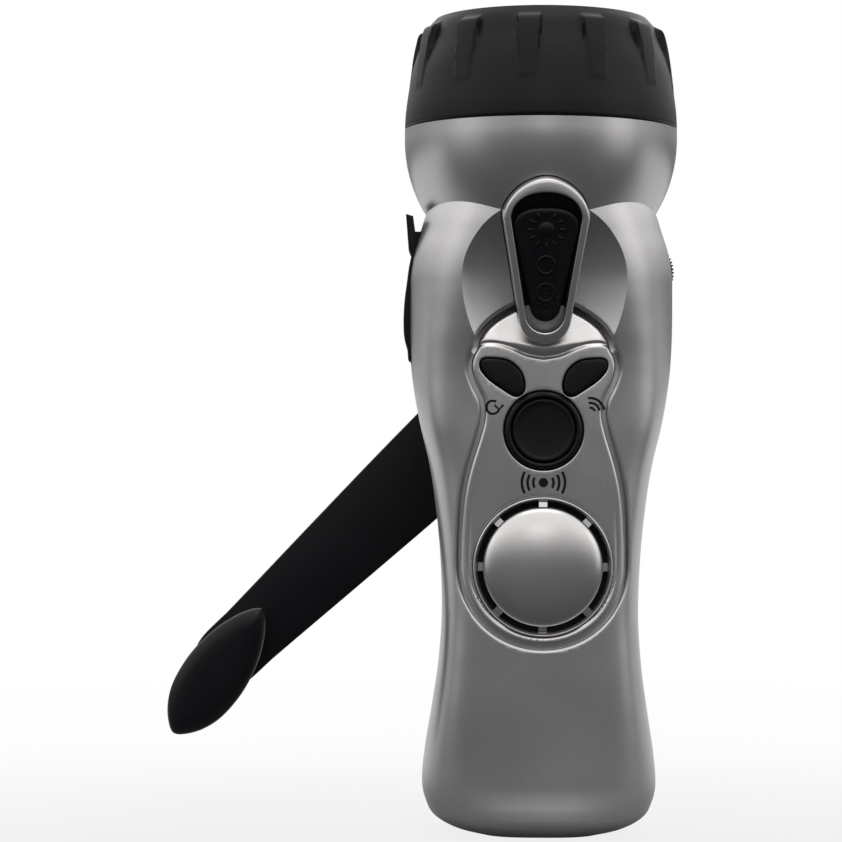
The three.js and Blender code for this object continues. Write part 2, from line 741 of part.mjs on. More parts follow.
function frontShell() {
  const ribs = [...shellBosses(-1), ...frontSupports()];
  const raw = joined(hollow.intersect(frontSide), ...ribs.map((rib) => rib.intersect(skin).intersect(frontSide)));
  return whole(cut(raw, panelRecess(), ...controlHoles(), ...shellScrewHoles(), ...sideHoles(), coverRecess()));
}

function rearShell() {
  const ribs = [...shellBosses(1), ...rearSupports()];
  const raw = joined(hollow.intersect(rearSide), ...ribs.map((rib) => rib.intersect(skin).intersect(rearSide)));
  return whole(cut(raw, ...shellScrewHoles(), ...rearHoles()));
}

function controlPanel() {
  const body = prism(panelOutline(), 0, -cutOverrun).intersect(levelHandle(-panelProud));
  return cut(body, levelHandle(panelThickness - panelProud), ...controlHoles());
}

function sirenGrille() {
  const domeEdge = panelFace - panelProud;
  const arc = Array.from({ length: 5 }, (_, k) => k / 4).map((share) => (
    [domeRadius * Math.sin(share * Math.PI / 2), -domeEdge - domeRise * Math.cos(share * Math.PI / 2)]));
  const inner = arc.map(([r, y]) => [Math.max(0, r - domeWall * r / domeRadius), y + domeWall]).reverse();
  const dome = latheY([...arc, ...inner], 24, 0, sirenHeight);
  const rimInner = domeRadius + sirenSlot;
  const rim = latheY([
    [rimInner, sirenRim - panelFace], [sirenRadius(), -panelFace], [sirenRadius(), sirenBack()], [rimInner, sirenBack()],
  ], 24, 0, sirenHeight, true);
  const bridge = block([domeRadius - domeWall, -domeEdge, -bridgeWidth / 2],
    [rimInner + sirenRim / 2, sirenBack(), bridgeWidth / 2]);
  const bridges = Array.from({ length: bridgeCount }, (_, k) => (
    bridge.rotate([0, 360 * k / bridgeCount, 0]).translate([0, 0, sirenHeight])));
  return joined(dome, rim, ...bridges);
}

function switchBezel() {
  const outline = teardrop(bezelOutline);
  const crest = bezelOutline.wide - pitOutline.wide;
  const outside = terrace(outline, [
    [0, bezelDepth], [0, crest * 1.2], [crest * 0.25, crest * 0.55], [crest * 0.6, crest * 0.12],
    [crest * 0.85, 0], [crest * 1.1, crest * 0.15],
  ]);
  const pit = prism(teardrop(pitOutline), pitDepth, -bezelDepth);
  const back = prism(offsetOutline(outline, -bezelWall), 2 * bezelDepth, pitDepth + bezelWall);
  const slot = block([-rockerStemWidth / 2 - clearance, 0, rockerPivot() - rockerSlotLength / 2],
    [rockerStemWidth / 2 + clearance, 2 * bezelDepth, rockerPivot() + rockerSlotLength / 2]);
  return switchPlaced(cut(outside, pit, back, slot));
}

const rockerPivot = () => (rockerOutline.rise - rockerOutline.length - rockerOutline.narrow) / 2 - rockerDrop;

function rocker() {
  const outline = onSlope(teardrop(rockerOutline), -rockerDrop);
  const top = clearance;
  const body = terrace(outline, [
    [0, top + rockerThickness], [0, top + rockerThickness / 3], [rockerThickness / 5, top],
    [rockerThickness, top - clearance],
  ]);
  const stem = block([-rockerStemWidth / 2, top + rockerThickness / 2, rockerPivot() - rockerStemLength / 2],
    [rockerStemWidth / 2, pitDepth + bezelWall - clearance, rockerPivot() + rockerStemLength / 2]);
  return switchPlaced(body.add(stem));
}

function rockerSwitchBody() {
  const { x, y, z } = switchBodySize;
  const front = pitDepth + bezelWall + clearance;
  const body = block([-x / 2, front, rockerPivot() - z / 2], [x / 2, front + y, rockerPivot() + z / 2]);
  return switchPlaced(body);
}

// Head
function headBezel() {
  const outside = bezelShares.map(([up, out]) => [headRadius * out, headBezelBase + up * headBezelHeight]);
  const step = headBezelBase + threadCollarHeight + clearance;
  const profile = [
    ...outside, [lipRadius, totalHeight], [lipRadius, lipFloor], [lensRadius + clearance, lipFloor],
    [lensRadius + clearance, flangeBase], [lensCollarRadius + clearance, flangeBase],
    [lensCollarRadius + clearance, step], [threadCollarRadius + clearance, step],
    [threadCollarRadius + clearance, headBezelBase],
  ];
  const envelope = latheZ([
    [lensRadius, headBezelBase + ribShares[0][0] * headBezelHeight],
    ...ribShares.map(([up, out]) => [headRadius * out, headBezelBase + up * headBezelHeight]),
    [lensRadius, headBezelBase + ribShares[4][0] * headBezelHeight],
  ], headSides, true);
  const top = totalHeight - ribTopDrop;
  const wedge = terrace([
    [-ribFootWidth / 2, top - ribLength], [ribFootWidth / 2, top - ribLength],
    [ribWidth / 2, top], [-ribWidth / 2, top],
  ], [[0, -lensRadius - clearance], [0, -headRadius - wall]]);
  const ribs = Array.from({ length: ribCount }, (_, k) => (
    wedge.rotate([0, 0, ribTurn + 360 * k / ribCount]).intersect(envelope)));
  const bore = rodZ(lensCollarRadius + clearance, 0, 0, headBezelBase, flangeBase, headSides);
  return joined(latheZ(profile, headSides, true), ...ribs.map((rib) => rib.subtract(bore)));
}

const disc = (radius, fromZ, toZ, segments) => rodZ(radius, 0, 0, fromZ, toZ, segments);

function reflector() {
  const rim = lensCollarRadius - collarWall - clearance - reflectorWall;
  const focal = (rim ** 2 - reflectorThroat ** 2) / reflectorDepth;
  const bowl = Array.from({ length: 5 }, (_, k) => k / 4).map((share) => (
    [Math.sqrt(reflectorThroat ** 2 + focal * share * reflectorDepth), reflectorBase + share * reflectorDepth]));
  const flangeTop = flangeBase + flangeThickness;
  const inside = [...bowl, [rim, flangeTop]];
  const outside = [...bowl].reverse().map(([radius, z]) => [radius + reflectorWall, z]);
  const flange = [[lensRadius, flangeTop], [lensRadius, flangeBase], [rim + reflectorWall, flangeBase]];
  return latheZ([...inside, ...flange, ...outside], 24, true);
}

function gasket() {
  const top = gasketBase + gasketThickness;
  const inner = lensRadius - gasketWidth;
  return latheZ([[inner, gasketBase], [lensRadius, gasketBase], [lensRadius, top], [inner, top]], headSides, true);
}

function led(turn) {
  const base = ledBoardBase + boardThickness + clearance;
  const straight = ledHeight - ledRadius;
  const profile = [
    [0, base], [ledRadius, base], [ledRadius, base + straight],
    [ledRadius * 0.7, base + straight + ledRadius * 0.7], [0, base + ledHeight],
  ];
  return latheZ(profile, 12).translate([ledCircle * Math.cos(turn), ledCircle * Math.sin(turn), 0]);
}

// Buttons: a shaped cap with a plunger towards its own small switch
function button(outline, x, z) {
  const face = -panelFace - buttonProud;
  const back = -panelFace + buttonDepth;
  const tip = -(boardFace + clearance + tactDepth + buttonTravel + clearance);
  const cap = terrace(outline, [
    [0, back], [0, face + buttonProud / 2], [buttonProud / 4, face + buttonProud / 6], [buttonProud / 2, face],
  ]);
  return cap.add(rodY(plungerRadius, x, z, back - joinDepth, tip, 10));
}

function alarmButton() {
  const cap = latheY([
    [0, -panelFace - buttonProud * 0.6], [alarmRadius * 0.6, -panelFace - buttonProud * 0.7],
    [alarmRadius * 0.9, -panelFace - buttonProud], [alarmRadius, -panelFace - buttonProud / 2],
    [alarmRadius, -panelFace + buttonDepth], [0, -panelFace + buttonDepth],
  ], 28, 0, alarmHeight);
  const tip = -(boardFace + clearance + tactDepth + buttonTravel + clearance);
  return cap.add(rodY(plungerRadius, 0, alarmHeight, -panelFace + buttonDepth - joinDepth, tip, 10));
}

function alarmCollar() {
  const inner = alarmRadius + clearance;
  const face = -panelFace - buttonProud;
  return latheY([
    [inner, face], [(inner + collarRadius) / 2, face - buttonProud / 4], [collarRadius, -panelFace - buttonProud / 3],
    [collarRadius, -panelFace + wall], [inner, -panelFace + wall],
  ], 28, 0, alarmHeight, true);
}

function tactSwitch(x, z) {
  const face = -boardFace - clearance;
  return block([x - tactSize / 2, face - tactDepth, z - tactSize / 2], [x + tactSize / 2, face, z + tactSize / 2]);
}

function controlBoard() {
  const outline = [
    [-boardHalfWidth, boardBottom], [boardHalfWidth, boardBottom], [boardHalfWidth, boardTabBottom],
    [boardTabReach, boardTabBottom], [boardTabReach, boardTop], [-boardTabReach, boardTop],
    [-boardTabReach, boardTabBottom], [-boardHalfWidth, boardTabBottom],
  ];
  return prism(outline, -boardFace + boardThickness, -boardFace);
}

const boardRearFace = () => -boardFace + boardThickness + clearance;

function radioChip() {
  const z = boardBottom + 2 * chipSize;
  return block([-chipSize / 2, boardRearFace(), z - chipSize / 2],
    [chipSize / 2, boardRearFace() + chipThickness, z + chipSize / 2]);
}

const socketFace = (z) => (
  Math.min(halfWidthAt(z - socketSize.z / 2), halfWidthAt(z + socketSize.z / 2)) - wall - 4 * clearance);

function socket(z) {
  const outer = -socketFace(z);
  const body = block([outer, boardRearFace(), z - socketSize.z / 2],
    [outer + socketSize.x, boardRearFace() + socketSize.y, z + socketSize.z / 2]);
  return body.subtract(rodX(socketRadius, -socketPlane, z, outer - joinDepth, outer + socketSize.x - joinDepth, 10));
}

// Rubber cover over the sockets, hinged at its lower end
const coverHinge = () => ({ x: -(halfWidthAt(coverBottom) - coverInset + coverHingeRadius), z: coverBottom });

function coverOutline() {
  const { x, z } = coverHinge();
  const tabFoot = coverBottom + coverTabFoot * coverHeight;
  const tabOuter = halfWidthAt(tabFoot) + coverTabReach;
  const tabInner = tabOuter - coverTabThickness;
  const cap = coverBottom + coverCap * coverHeight;
  const tab = [[-tabOuter, tabFoot], [-tabOuter, coverTop], [-tabInner, coverTop], [-tabInner, cap]];
  const outer = coverShares.map(([up, out]) => {
    const level = coverBottom + up * coverHeight;
    return [-(halfWidthAt(level) + out * coverProud), level];
  });
  const inner = [coverCap, 0.7, 0.5, 0.3, 0.15].map((up) => {
    const level = coverBottom + up * coverHeight;
    return [-(halfWidthAt(level) - coverInset), level];
  });
  const foot = [0.1, 0.3, 0.5, 0.7, 0.9].map((share) => 2 * Math.PI - share * Math.PI).map((angle) => (
    [x + coverHingeRadius * Math.cos(angle), z + coverHingeRadius * Math.sin(angle)]));
  return [...outer, ...tab, ...inner, ...foot];
}

const coverSide = (side, extra) => -socketPlane + side * (coverWidth / 2 + extra);

function coverRecess() {
  return prism(offsetOutline(coverOutline(), coverPlay), coverSide(1, clearance), coverSide(-1, clearance));
}

function socketCover() {
  const flap = terrace(coverOutline(), [
    [coverInset / 3, coverSide(1, 0)], [0, coverSide(1, -coverInset / 3)], [0, coverSide(-1, -coverInset / 3)],
    [coverInset / 3, coverSide(-1, 0)],
  ]);
  const pegs = Object.values(socketHeights).map((z) => {
    const face = -(halfWidthAt(z) - coverInset);
    return rodX(pegRadius, -socketPlane, z, face - coverInset / 2, face + pegLength, 10);
  });
  return joined(flap, ...pegs);
}

// Volume wheel and its pot
function volumeWheel() {
  const count = 2 * volumeTeeth;
  const outline = Array.from({ length: count }, (_, k) => {
    const radius = k % 2 ? volumeRadius : volumeRadius - volumeToothDepth;
    const angle = 2 * Math.PI * k / count;
    return [volumeOffset + radius * Math.cos(angle), volumeHeight + radius * Math.sin(angle)];
  });
  const disk = prism(outline, volumeThickness - volumePlane, -volumePlane);
  const bore = rodY(screwRadius + clearance, volumeOffset, volumeHeight, -volumeThickness, 2 * volumeThickness, 10);
  return disk.subtract(bore);
}

function volumePot() {
  const back = -volumePlane - 2 * clearance;
  const body = block([boardHalfWidth, boardRearFace(), volumeHeight - volumeRadius / 2],
    [volumeOffset + volumeRadius / 4, back, volumeHeight + volumeRadius / 2]);
  const front = volumeThickness - volumePlane + clearance;
  return body.add(rodY(screwRadius, volumeOffset, volumeHeight, back - joinDepth, front, 10));
}

// Siren speaker behind its grille
function sirenCone() {
  const edge = sirenBack() + 2 * clearance;
  const back = edge + coneThickness;
  return latheY([[0, edge - coneDish], [coneRadius, edge], [coneRadius, back], [0, back - coneDish]], 24, 0, sirenHeight);
}

function sirenSpeaker() {
  const face = sirenBack() + clearance;
  const cup = coneRadius + clearance;
  const floor = face + basketThickness;
  const waist = floor + speakerDepth / 3;
  return latheY([
    [0, floor], [cup, floor], [cup, face], [speakerRadius, face], [speakerRadius, floor],
    [magnetRadius + magnetFlange, waist], [magnetRadius, waist], [magnetRadius, face + speakerDepth],
    [0, face + speakerDepth],
  ], 28, 0, sirenHeight);
}

function cell(number) {
  const base = batteryBottom + number * (cellHeight + clearance);
  return disc(cellRadius, base, base + cellHeight, 20);
}

// Gears: straight-flanked teeth, thinned for play
function gearOutline(teeth, module, x, z, turn) {
  const pitch = teeth * module / 2;
  const step = 2 * Math.PI / teeth;
  const toothShares = [[-0.28, -1.15], [-0.1, 0.92], [0.1, 0.92], [0.28, -1.15]];
  return Array.from({ length: teeth }, (_, k) => k).flatMap((k) => toothShares.map(([along, out]) => {
    const angle = turn + step * (k + along);
    const radius = pitch + out * module;
    return [x + radius * Math.cos(angle), z + radius * Math.sin(angle)];
  }));
}

function gear(teeth, module, z, turn, fromY, thickness) {
  return prism(gearOutline(teeth, module, 0, z, turn), fromY + thickness, fromY);
}

const down = -Math.PI / 2;
const up = Math.PI / 2;

function driveGear() {
  const wheel = gear(driveTeeth, driveModule, crankHeight, down, driveGearPlane, driveGearThickness);
  return wheel.subtract(rodY(shaftRadius + clearance, 0, crankHeight, 0, cutOverrun, 12));
}

function idlerGear() {
  const pinionEnd = driveGearPlane + driveGearThickness + clearance;
  const wheel = gear(idlerWheelTeeth, rotorModule, idlerHeight, down, wheelPlane, wheelThickness);
  const turn = up + Math.PI / idlerPinionTeeth;
  const start = wheelPlane + joinDepth;
  const pinion = gear(idlerPinionTeeth, driveModule, idlerHeight, turn, start, pinionEnd - start);
  return joined(wheel, pinion).subtract(rodY(axleRadius + clearance, 0, idlerHeight, 0, cutOverrun, 12));
}

function dynamoRotor() {
  const pinion = gear(rotorTeeth, rotorModule, rotorHeight, up + Math.PI / rotorTeeth, wheelPlane, wheelThickness);
  const back = plateFace - clearance - dynamoDepth;
  const magnet = rodY(dynamoRadius * 0.6, 0, rotorHeight, back + dynamoDepth * 0.25, back + dynamoDepth * 0.7, 20);
  const shaft = rodY(rotorShaftRadius, 0, rotorHeight, back + dynamoDepth * 0.3, wheelPlane + joinDepth, 10);
  return joined(pinion, magnet, shaft);
}

function dynamoHousing() {
  const rear = plateFace - clearance;
  const back = rear - dynamoDepth;
  const bore = rotorShaftRadius + clearance;
  const cavity = dynamoRadius * 0.6 + clearance;
  return latheY([
    [0, back], [dynamoRadius, back], [dynamoRadius, rear], [bore, rear], [bore, back + dynamoDepth * 0.75],
    [cavity, back + dynamoDepth * 0.75], [cavity, back + dynamoDepth * 0.2], [0, back + dynamoDepth * 0.2],
  ], 24, 0, rotorHeight);
}

function gearPlate() {
  const { foot, head } = plateScrewPlaces;
  const low = rotorHeight - dynamoRadius / 2;
  const corners = [
    [head.x, head.z], [-foot.x, foot.z], [-dynamoRadius / 2, low], [dynamoRadius / 2, low], [foot.x, foot.z],
  ];
  const plate = prism(offsetOutline(corners, bossRadius), plateFace + plateThickness, plateFace);
  const holes = [
    [screwRadius, foot.x, foot.z], [screwRadius, -foot.x, foot.z], [screwRadius, head.x, head.z],
    [shaftRadius, 0, crankHeight], [axleRadius, 0, idlerHeight], [rotorShaftRadius, 0, rotorHeight],
  ];
  return cut(plate, ...holes.map(([radius, x, z]) => rodY(radius + clearance, x, z, 0, 2 * wheelPlane, 10)));
}

const idlerAxle = () => rodY(axleRadius, 0, idlerHeight, plateFace, axleEnd(), 12);

function crankBush() {
  const outer = shaftRadius + clearance + bushWall;
  const bore = shaftRadius + clearance;
  const profile = [[bore, bushFace()], [outer, bushFace()], [outer, rearDepth], [bore, rearDepth]];
  return latheY(profile, 16, 0, crankHeight, true);
}

// Screws: a head and a plain shank, the head at the +Y end unless turned
function screw(x, z, seat, sign, length) {
  const head = rodY(screwHeadRadius, x, z, seat, seat + sign * screwHeadHeight, 10);
  return head.add(rodY(screwRadius, x, z, seat + sign * screwHeadHeight / 2, seat - sign * length, 8));
}

// Crank, drawn hanging straight down from a pivot at its own origin
const hubFace = rearDepth + 2 * clearance;
const hingeAxis = crankPlane + armThickness / 2;
const hubSeat = hubFace + hubSeatShare * hubThickness;
const shaftEnd = hubFace + shaftSeatShare * hubThickness;

function crankHub() {
  const top = hubFace + hubThickness;
  const disk = latheY([
    [0, hubFace], [hubRadius, hubFace], [hubRadius, top - hubChamfer], [hubRadius - hubChamfer, top], [0, top],
  ], 24, 0, 0);
  const lugRadius = armThickness / 2 + clearance;
  const lug = (side) => {
    const inner = side * (hingeHalfWidth + clearance);
    const outer = side * (hingeHalfWidth + clearance + lugThickness);
    const foot = block([Math.min(inner, outer), top - joinDepth, -lugRadius],
      [Math.max(inner, outer), hingeAxis, lugRadius]);
    return foot.add(rodX(lugRadius, hingeAxis, 0, inner, outer, 16));
  };
  return cut(joined(disk, lug(1), lug(-1)),
    rodX(hingePinRadius + clearance, hingeAxis, 0, -hubRadius, hubRadius, 10),
    rodY(shaftRadius + clearance, 0, 0, hubFace - joinDepth, shaftEnd + clearance, 12),
    rodY(hubScrewRadius + clearance, 0, 0, hubFace, top, 10),
    rodY(hubScrewHead + clearance, 0, 0, hubSeat, top + joinDepth, 16));
}

function crankShaft() {
  const shaft = rodY(shaftRadius, 0, 0, plateFace + clearance, shaftEnd, 16);
  const bottom = shaftEnd - hubScrewLength - 3 * clearance;
  return shaft.subtract(rodY(hubScrewRadius + clearance, 0, 0, bottom, shaftEnd + joinDepth, 8));
}

function hubScrew() {
  const head = rodY(hubScrewHead, 0, 0, hubSeat + clearance, hubFace + hubThickness - clearance, 14);
  return head.add(rodY(hubScrewRadius, 0, 0, hubSeat + 2 * clearance, shaftEnd - hubScrewLength, 8));
}

function armOutline() {
  const spread = armHalfWidth - armTipHalfWidth;
  const right = armShares.map(([down, wide]) => [armTipHalfWidth + wide * spread, -down * armReach]);
  const steps = 8;
  const tip = Array.from({ length: steps + 1 }, (_, k) => -k * Math.PI / steps).map((angle) => (
    [armTipHalfWidth * Math.cos(angle), armTipHalfWidth * (1 + Math.sin(angle)) - armReach]));
  return [...right, ...tip, ...right.map(([x, z]) => [-x, z]).reverse()];
}

function crankArm() {
  const face = crankPlane;
  const back = crankPlane + armThickness;
  const blade = terrace(armOutline(), [
    [armRound, back], [0, back - armRound], [0, face + armRound / 2], [armRound / 2, face],
  ]);
  const neck = block([-hingeHalfWidth, face, -armNeckLength], [hingeHalfWidth, back, -clearance]);
  const barrel = rodX(armThickness / 2, hingeAxis, 0, -hingeHalfWidth, hingeHalfWidth, 16);
  return cut(joined(blade, neck, barrel),
    rodX(hingePinRadius + clearance, hingeAxis, 0, -hubRadius, hubRadius, 10),
    rodY(knobPinRadius + clearance, 0, -knobReach, face - joinDepth, back + joinDepth, 12));
}

const hubLugEnd = hingeHalfWidth + clearance + lugThickness;
const hingePin = () => rodX(hingePinRadius, hingeAxis, 0, -hubLugEnd, hubLugEnd, 12);

function knobPin() {
  const end = crankPlane + armThickness + clearance;
  const head = rodY(1.8 * knobPinRadius, 0, -knobReach, end, end + pinHead, 14);
  return head.add(rodY(knobPinRadius, 0, -knobReach, crankPlane - 0.7 * knobDepth, end + pinHead / 2, 12));
}

// Leaf outline of the knob: shares of its length from the pointed end, and of its half-width
const leafShares = [
  [0, 0.06], [0.05, 0.3], [0.14, 0.56], [0.28, 0.82], [0.45, 0.98], [0.6, 1], [0.75, 0.9], [0.87, 0.66], [0.96, 0.32],
];

// Sides and face of the knob: how far drawn in, and how far down from the arm, as shares
const knobShares = [[0.34, 0], [0.24, 0.25], [0.1, 0.55], [0, 0.8], [0.02, 0.88], [0.14, 0.95], [0.4, 1]];

function crankKnob() {
  const length = knobOuter - knobInner;
  const right = leafShares.map(([along, wide]) => [wide * knobHalfWidth, knobReach - knobInner - along * length]);
  const tip = [0, knobReach - knobOuter];
  const outline = [...right, tip, ...right.map(([x, z]) => [-x, z]).reverse()];
  const base = crankPlane - clearance;
  const slimness = 2 * knobHalfWidth / length;
  const middle = knobReach - (knobInner + knobOuter) / 2;
  const body = loft(knobShares.map(([inset, depth]) => outline.map(([x, z]) => new THREE.Vector3(
    x * (1 - inset), base - depth * knobDepth, middle + (z - middle) * (1 - inset * slimness)))));
  const placed = body.rotate([0, knobTurn, 0]).translate([0, 0, -knobReach]);
  const bore = rodY(knobPinRadius + clearance, 0, -knobReach, crankPlane, crankPlane - 0.75 * knobDepth, 12);
  return placed.subtract(bore);
}

// Assembly
const flashlight = new THREE.Group();
flashlight.add(
  mesh('front_shell', frontShell(), silverPaint),
  mesh('rear_shell', rearShell(), silverPaint),
  mesh('control_panel', controlPanel(), silverTrim),
  mesh('switch_bezel', switchBezel(), silverTrim),
  mesh('siren_grille', sirenGrille(), silverTrim),
  mesh('head_bezel', headBezel(), blackPlastic),
  mesh('lens', disc(lensRadius, lensBase, lensBase + lensThickness, headSides), clearPlastic),
  mesh('lens_gasket', gasket(), blackRubber),
  mesh('reflector', reflector(), chrome),
  mesh('led_board', disc(ledBoardRadius, ledBoardBase, ledBoardBase + boardThickness, 24), boardGreen),
  mesh('rocker', rocker(), blackPlastic),
  mesh('rocker_switch_body', rockerSwitchBody(), blackPlastic),
  mesh('alarm_button', alarmButton(), blackRubber),
  mesh('alarm_collar', alarmCollar(), blackPlastic),
  mesh('reset_button', button(buttonOutline(-1), -buttonOffset, buttonHeight), blackRubber),
  mesh('scan_button', button(buttonOutline(1), buttonOffset, buttonHeight), blackRubber),
  mesh('alarm_switch', tactSwitch(0, alarmHeight), blackPlastic),
  mesh('reset_switch', tactSwitch(-buttonOffset, buttonHeight), blackPlastic),
  mesh('scan_switch', tactSwitch(buttonOffset, buttonHeight), blackPlastic),
  mesh('control_board', controlBoard(), boardGreen),
  mesh('radio_chip', radioChip(), blackPlastic),
  mesh('earphone_socket', socket(socketHeights.earphone), blackPlastic),
  mesh('charge_socket', socket(socketHeights.charge), blackPlastic),
  mesh('socket_cover', socketCover(), blackRubber),
  mesh('volume_wheel', volumeWheel(), blackPlastic),
  mesh('volume_pot', volumePot(), blackPlastic),
  mesh('siren_cone', sirenCone(), blackPlastic),
  mesh('siren_speaker', sirenSpeaker(), steel),
  mesh('idler_gear', idlerGear(), nylon),
  mesh('idler_axle', idlerAxle(), steel),
  mesh('dynamo_housing', dynamoHousing(), steel),
  mesh('dynamo_rotor', dynamoRotor(), steel),
  mesh('gear_plate', gearPlate(), nylon),
  mesh('crank_bush', crankBush(), nylon),
  mesh('drive_gear', driveGear(), nylon),
);
[0, 1, 2].forEach((k) => {
  flashlight.add(mesh(`led_${k + 1}`, led(2 * Math.PI * k / 3 + up), clearPlastic));
});
for (let k = 0; k < cellCount; k++) flashlight.add(mesh(`battery_cell_${k + 1}`, cell(k), cellSleeve));
Object.entries(shellScrewPlaces).forEach(([level, { x, z }]) => {
  [['left', -x], ['right', x]].forEach(([side, place]) => {
    const body = screw(place, z, shellScrewSeat + clearance, 1, screwLength - clearance);
    flashlight.add(mesh(`shell_screw_${level}_${side}`, body, steel));
  });
});
const { foot, head } = plateScrewPlaces;
[['left', -foot.x, foot.z], ['right', foot.x, foot.z], ['top', head.x, head.z]].forEach(([place, x, z]) => {
  const body = screw(x, z, plateFace - clearance, -1, screwLength - clearance);
  flashlight.add(mesh(`plate_screw_${place}`, body, steel));
});

const crank = new THREE.Group();
crank.position.set(0, 0, crankHeight);
crank.rotation.y = crankSwing * degrees;
crank.add(
  mesh('crank_hub', crankHub(), blackPlastic),
  mesh('crank_shaft', crankShaft(), steel),
  mesh('hub_screw', hubScrew(), steel),
  mesh('hinge_pin', hingePin(), steel),
  mesh('crank_arm', crankArm(), blackPlastic),
  mesh('knob_pin', knobPin(), steel),
  mesh('crank_knob', crankKnob(), blackPlastic),
);
flashlight.add(crank);

export default flashlight;
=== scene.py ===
"""Looks of a hand-cranked flashlight, built on its solids. Lengths are in millimetres until a mesh is made."""

import json
import math

import bmesh
import bpy
import numpy as np
from mathutils import Matrix, Vector
from mathutils.geometry import delaunay_2d_cdt

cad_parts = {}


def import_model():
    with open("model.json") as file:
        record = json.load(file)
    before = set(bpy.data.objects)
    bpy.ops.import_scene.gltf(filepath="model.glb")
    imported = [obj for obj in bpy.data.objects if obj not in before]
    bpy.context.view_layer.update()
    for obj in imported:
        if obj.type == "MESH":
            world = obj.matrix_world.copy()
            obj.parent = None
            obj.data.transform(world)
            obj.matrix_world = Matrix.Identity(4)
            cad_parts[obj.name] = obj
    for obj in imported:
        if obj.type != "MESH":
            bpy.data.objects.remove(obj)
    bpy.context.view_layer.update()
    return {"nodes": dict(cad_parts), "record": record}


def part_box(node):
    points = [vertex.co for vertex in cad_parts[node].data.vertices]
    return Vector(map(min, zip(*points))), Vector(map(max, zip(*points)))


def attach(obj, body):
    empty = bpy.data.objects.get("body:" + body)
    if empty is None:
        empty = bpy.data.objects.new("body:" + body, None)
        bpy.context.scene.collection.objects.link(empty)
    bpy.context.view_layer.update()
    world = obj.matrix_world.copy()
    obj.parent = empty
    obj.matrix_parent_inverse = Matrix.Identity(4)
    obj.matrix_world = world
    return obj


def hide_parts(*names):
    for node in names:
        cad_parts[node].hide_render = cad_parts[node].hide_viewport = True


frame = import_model()
NODES = frame["nodes"]

# Sizes and places, in millimetres, as in the solids
SHOULDER = 149.0
GRIP = 22.8
FRONT = 21.0
REAR = 26.5
WALL = 2.4
GAP = 0.3
PARTING = 3.0
HEAD_RADIUS = 32.0
BELL_CENTRE = 162.0
BELL_RISE = 32.8
BELL_TOP = 164.2
BEZEL_BASE = 164.5
TOP = 190.0
COLLAR_TOP = 179.6
TILT = math.radians(11.5)
SWITCH_AT = (0.0, -31.6, 141.0)
DISH_Z = 127.4
DISH_FLOOR = -18.74
DISH_HALF = 16.86
DISH_UP = 13.9
DISH_DOWN = 23.5
DISH_DEPTH = 2.21
DISH_RIM = 0.32
PANEL_HALF = 18.6
PANEL_BOTTOM = 44.8
PANEL_TOP = 121.4
PROUD = 0.4
PANEL_THICK = 1.6
PANEL_SINK = 1.3
BAND_REACH = 2.9
BAND_BACK = -13.5
SIREN_Z = 62.7
DOME = 13.7
ALARM_Z = 93.8
BUTTON_X = 9.43
BUTTON_Z = 105.86
CRANK_Z = 109.3
SWING = math.radians(46.35)
CRANK_PLANE = 35.75
ARM_FACE = 33.5
ARM_BACK = 38
HINGE_RADIUS = 1.6
KNOB_REACH = 103.5
KNOB_INNER = 86.4
KNOB_OUTER = 123.5
KNOB_BORE = 2.3
KNOB_TURN = -11
KNOB_SLIDE = 2.4
IDLER_Z = 80.05
BOSS = 3.4
SCREW_HOLE = 1.25
SCREWS = [(side * x, z) for x, z in ((12.5, 13.5), (16.2, 50.0), (18.5, 141.5)) for side in (-1, 1)]
PLATE_SCREWS = [(-17.0, 73.5), (17.0, 73.5), (0.0, 138.5)]
POSTS = [(-15, 84.4), (15, 84.4), (-19, 127.4), (19, 127.4)]
SOCKET_Y = -2.6
SOCKETS = [128.5, 117.0]
WHEEL_X = 24.0
WHEEL_Z = 131.0
BUTTON_TOP = -22.39
BUTTON_BACK = -16.4
PLUNGER_BACK = -12.4
# Far off, in front of everything and behind it, a radius that stands for a point, and a millimetre in metres
AWAY = 99
FORE = -60
AFT = 60
TINY = 0.02
MM = 0.001

# Half-width, front and rear depth, and squareness of the handle: share of its height, and of the size above
WIDTHS = [
    (0, 0.642), (0.01, 0.868), (0.027, 1.073), (0.05, 1.163), (0.078, 1.198), (0.122, 1.174), (0.193, 1.1),
    (0.264, 1.033), (0.349, 1), (0.43, 1.018), (0.503, 1.063), (0.573, 1.132), (0.644, 1.241), (0.716, 1.319),
    (0.785, 1.348), (0.858, 1.352), (0.906, 1.31), (0.94, 1.241), (0.966, 1.185), (1, 1.08),
]
FRONTS = [
    (0, 0.69), (0.01, 0.9), (0.02, 0.99), (0.03, 1.022), (0.045, 1.018), (0.06, 1.008), (0.08, 1), (0.62, 1),
    (0.68, 1.012), (0.74, 1.055), (0.79, 1.12), (0.845, 1.185), (0.906, 1.215), (0.94, 1.215), (0.97, 1.205),
    (0.985, 1.2), (1, 1.12),
]
REARS = [
    (0, 0.396), (0.01, 0.475), (0.027, 0.525), (0.055, 0.556), (0.13, 0.575), (0.208, 0.585), (0.23, 0.65),
    (0.255, 0.76), (0.285, 0.838), (0.34, 0.868), (0.47, 0.917), (0.6, 0.978), (0.7, 1), (0.85, 1.019),
    (0.92, 1.03), (0.96, 1.01), (1, 0.94),
]
SQUARES = [(0, 3), (0.1, 3.4), (0.3, 4.6), (0.62, 4.6), (0.72, 3.6), (0.82, 2.9), (1, 2.6)]
REAR_SQUARE = 3.2

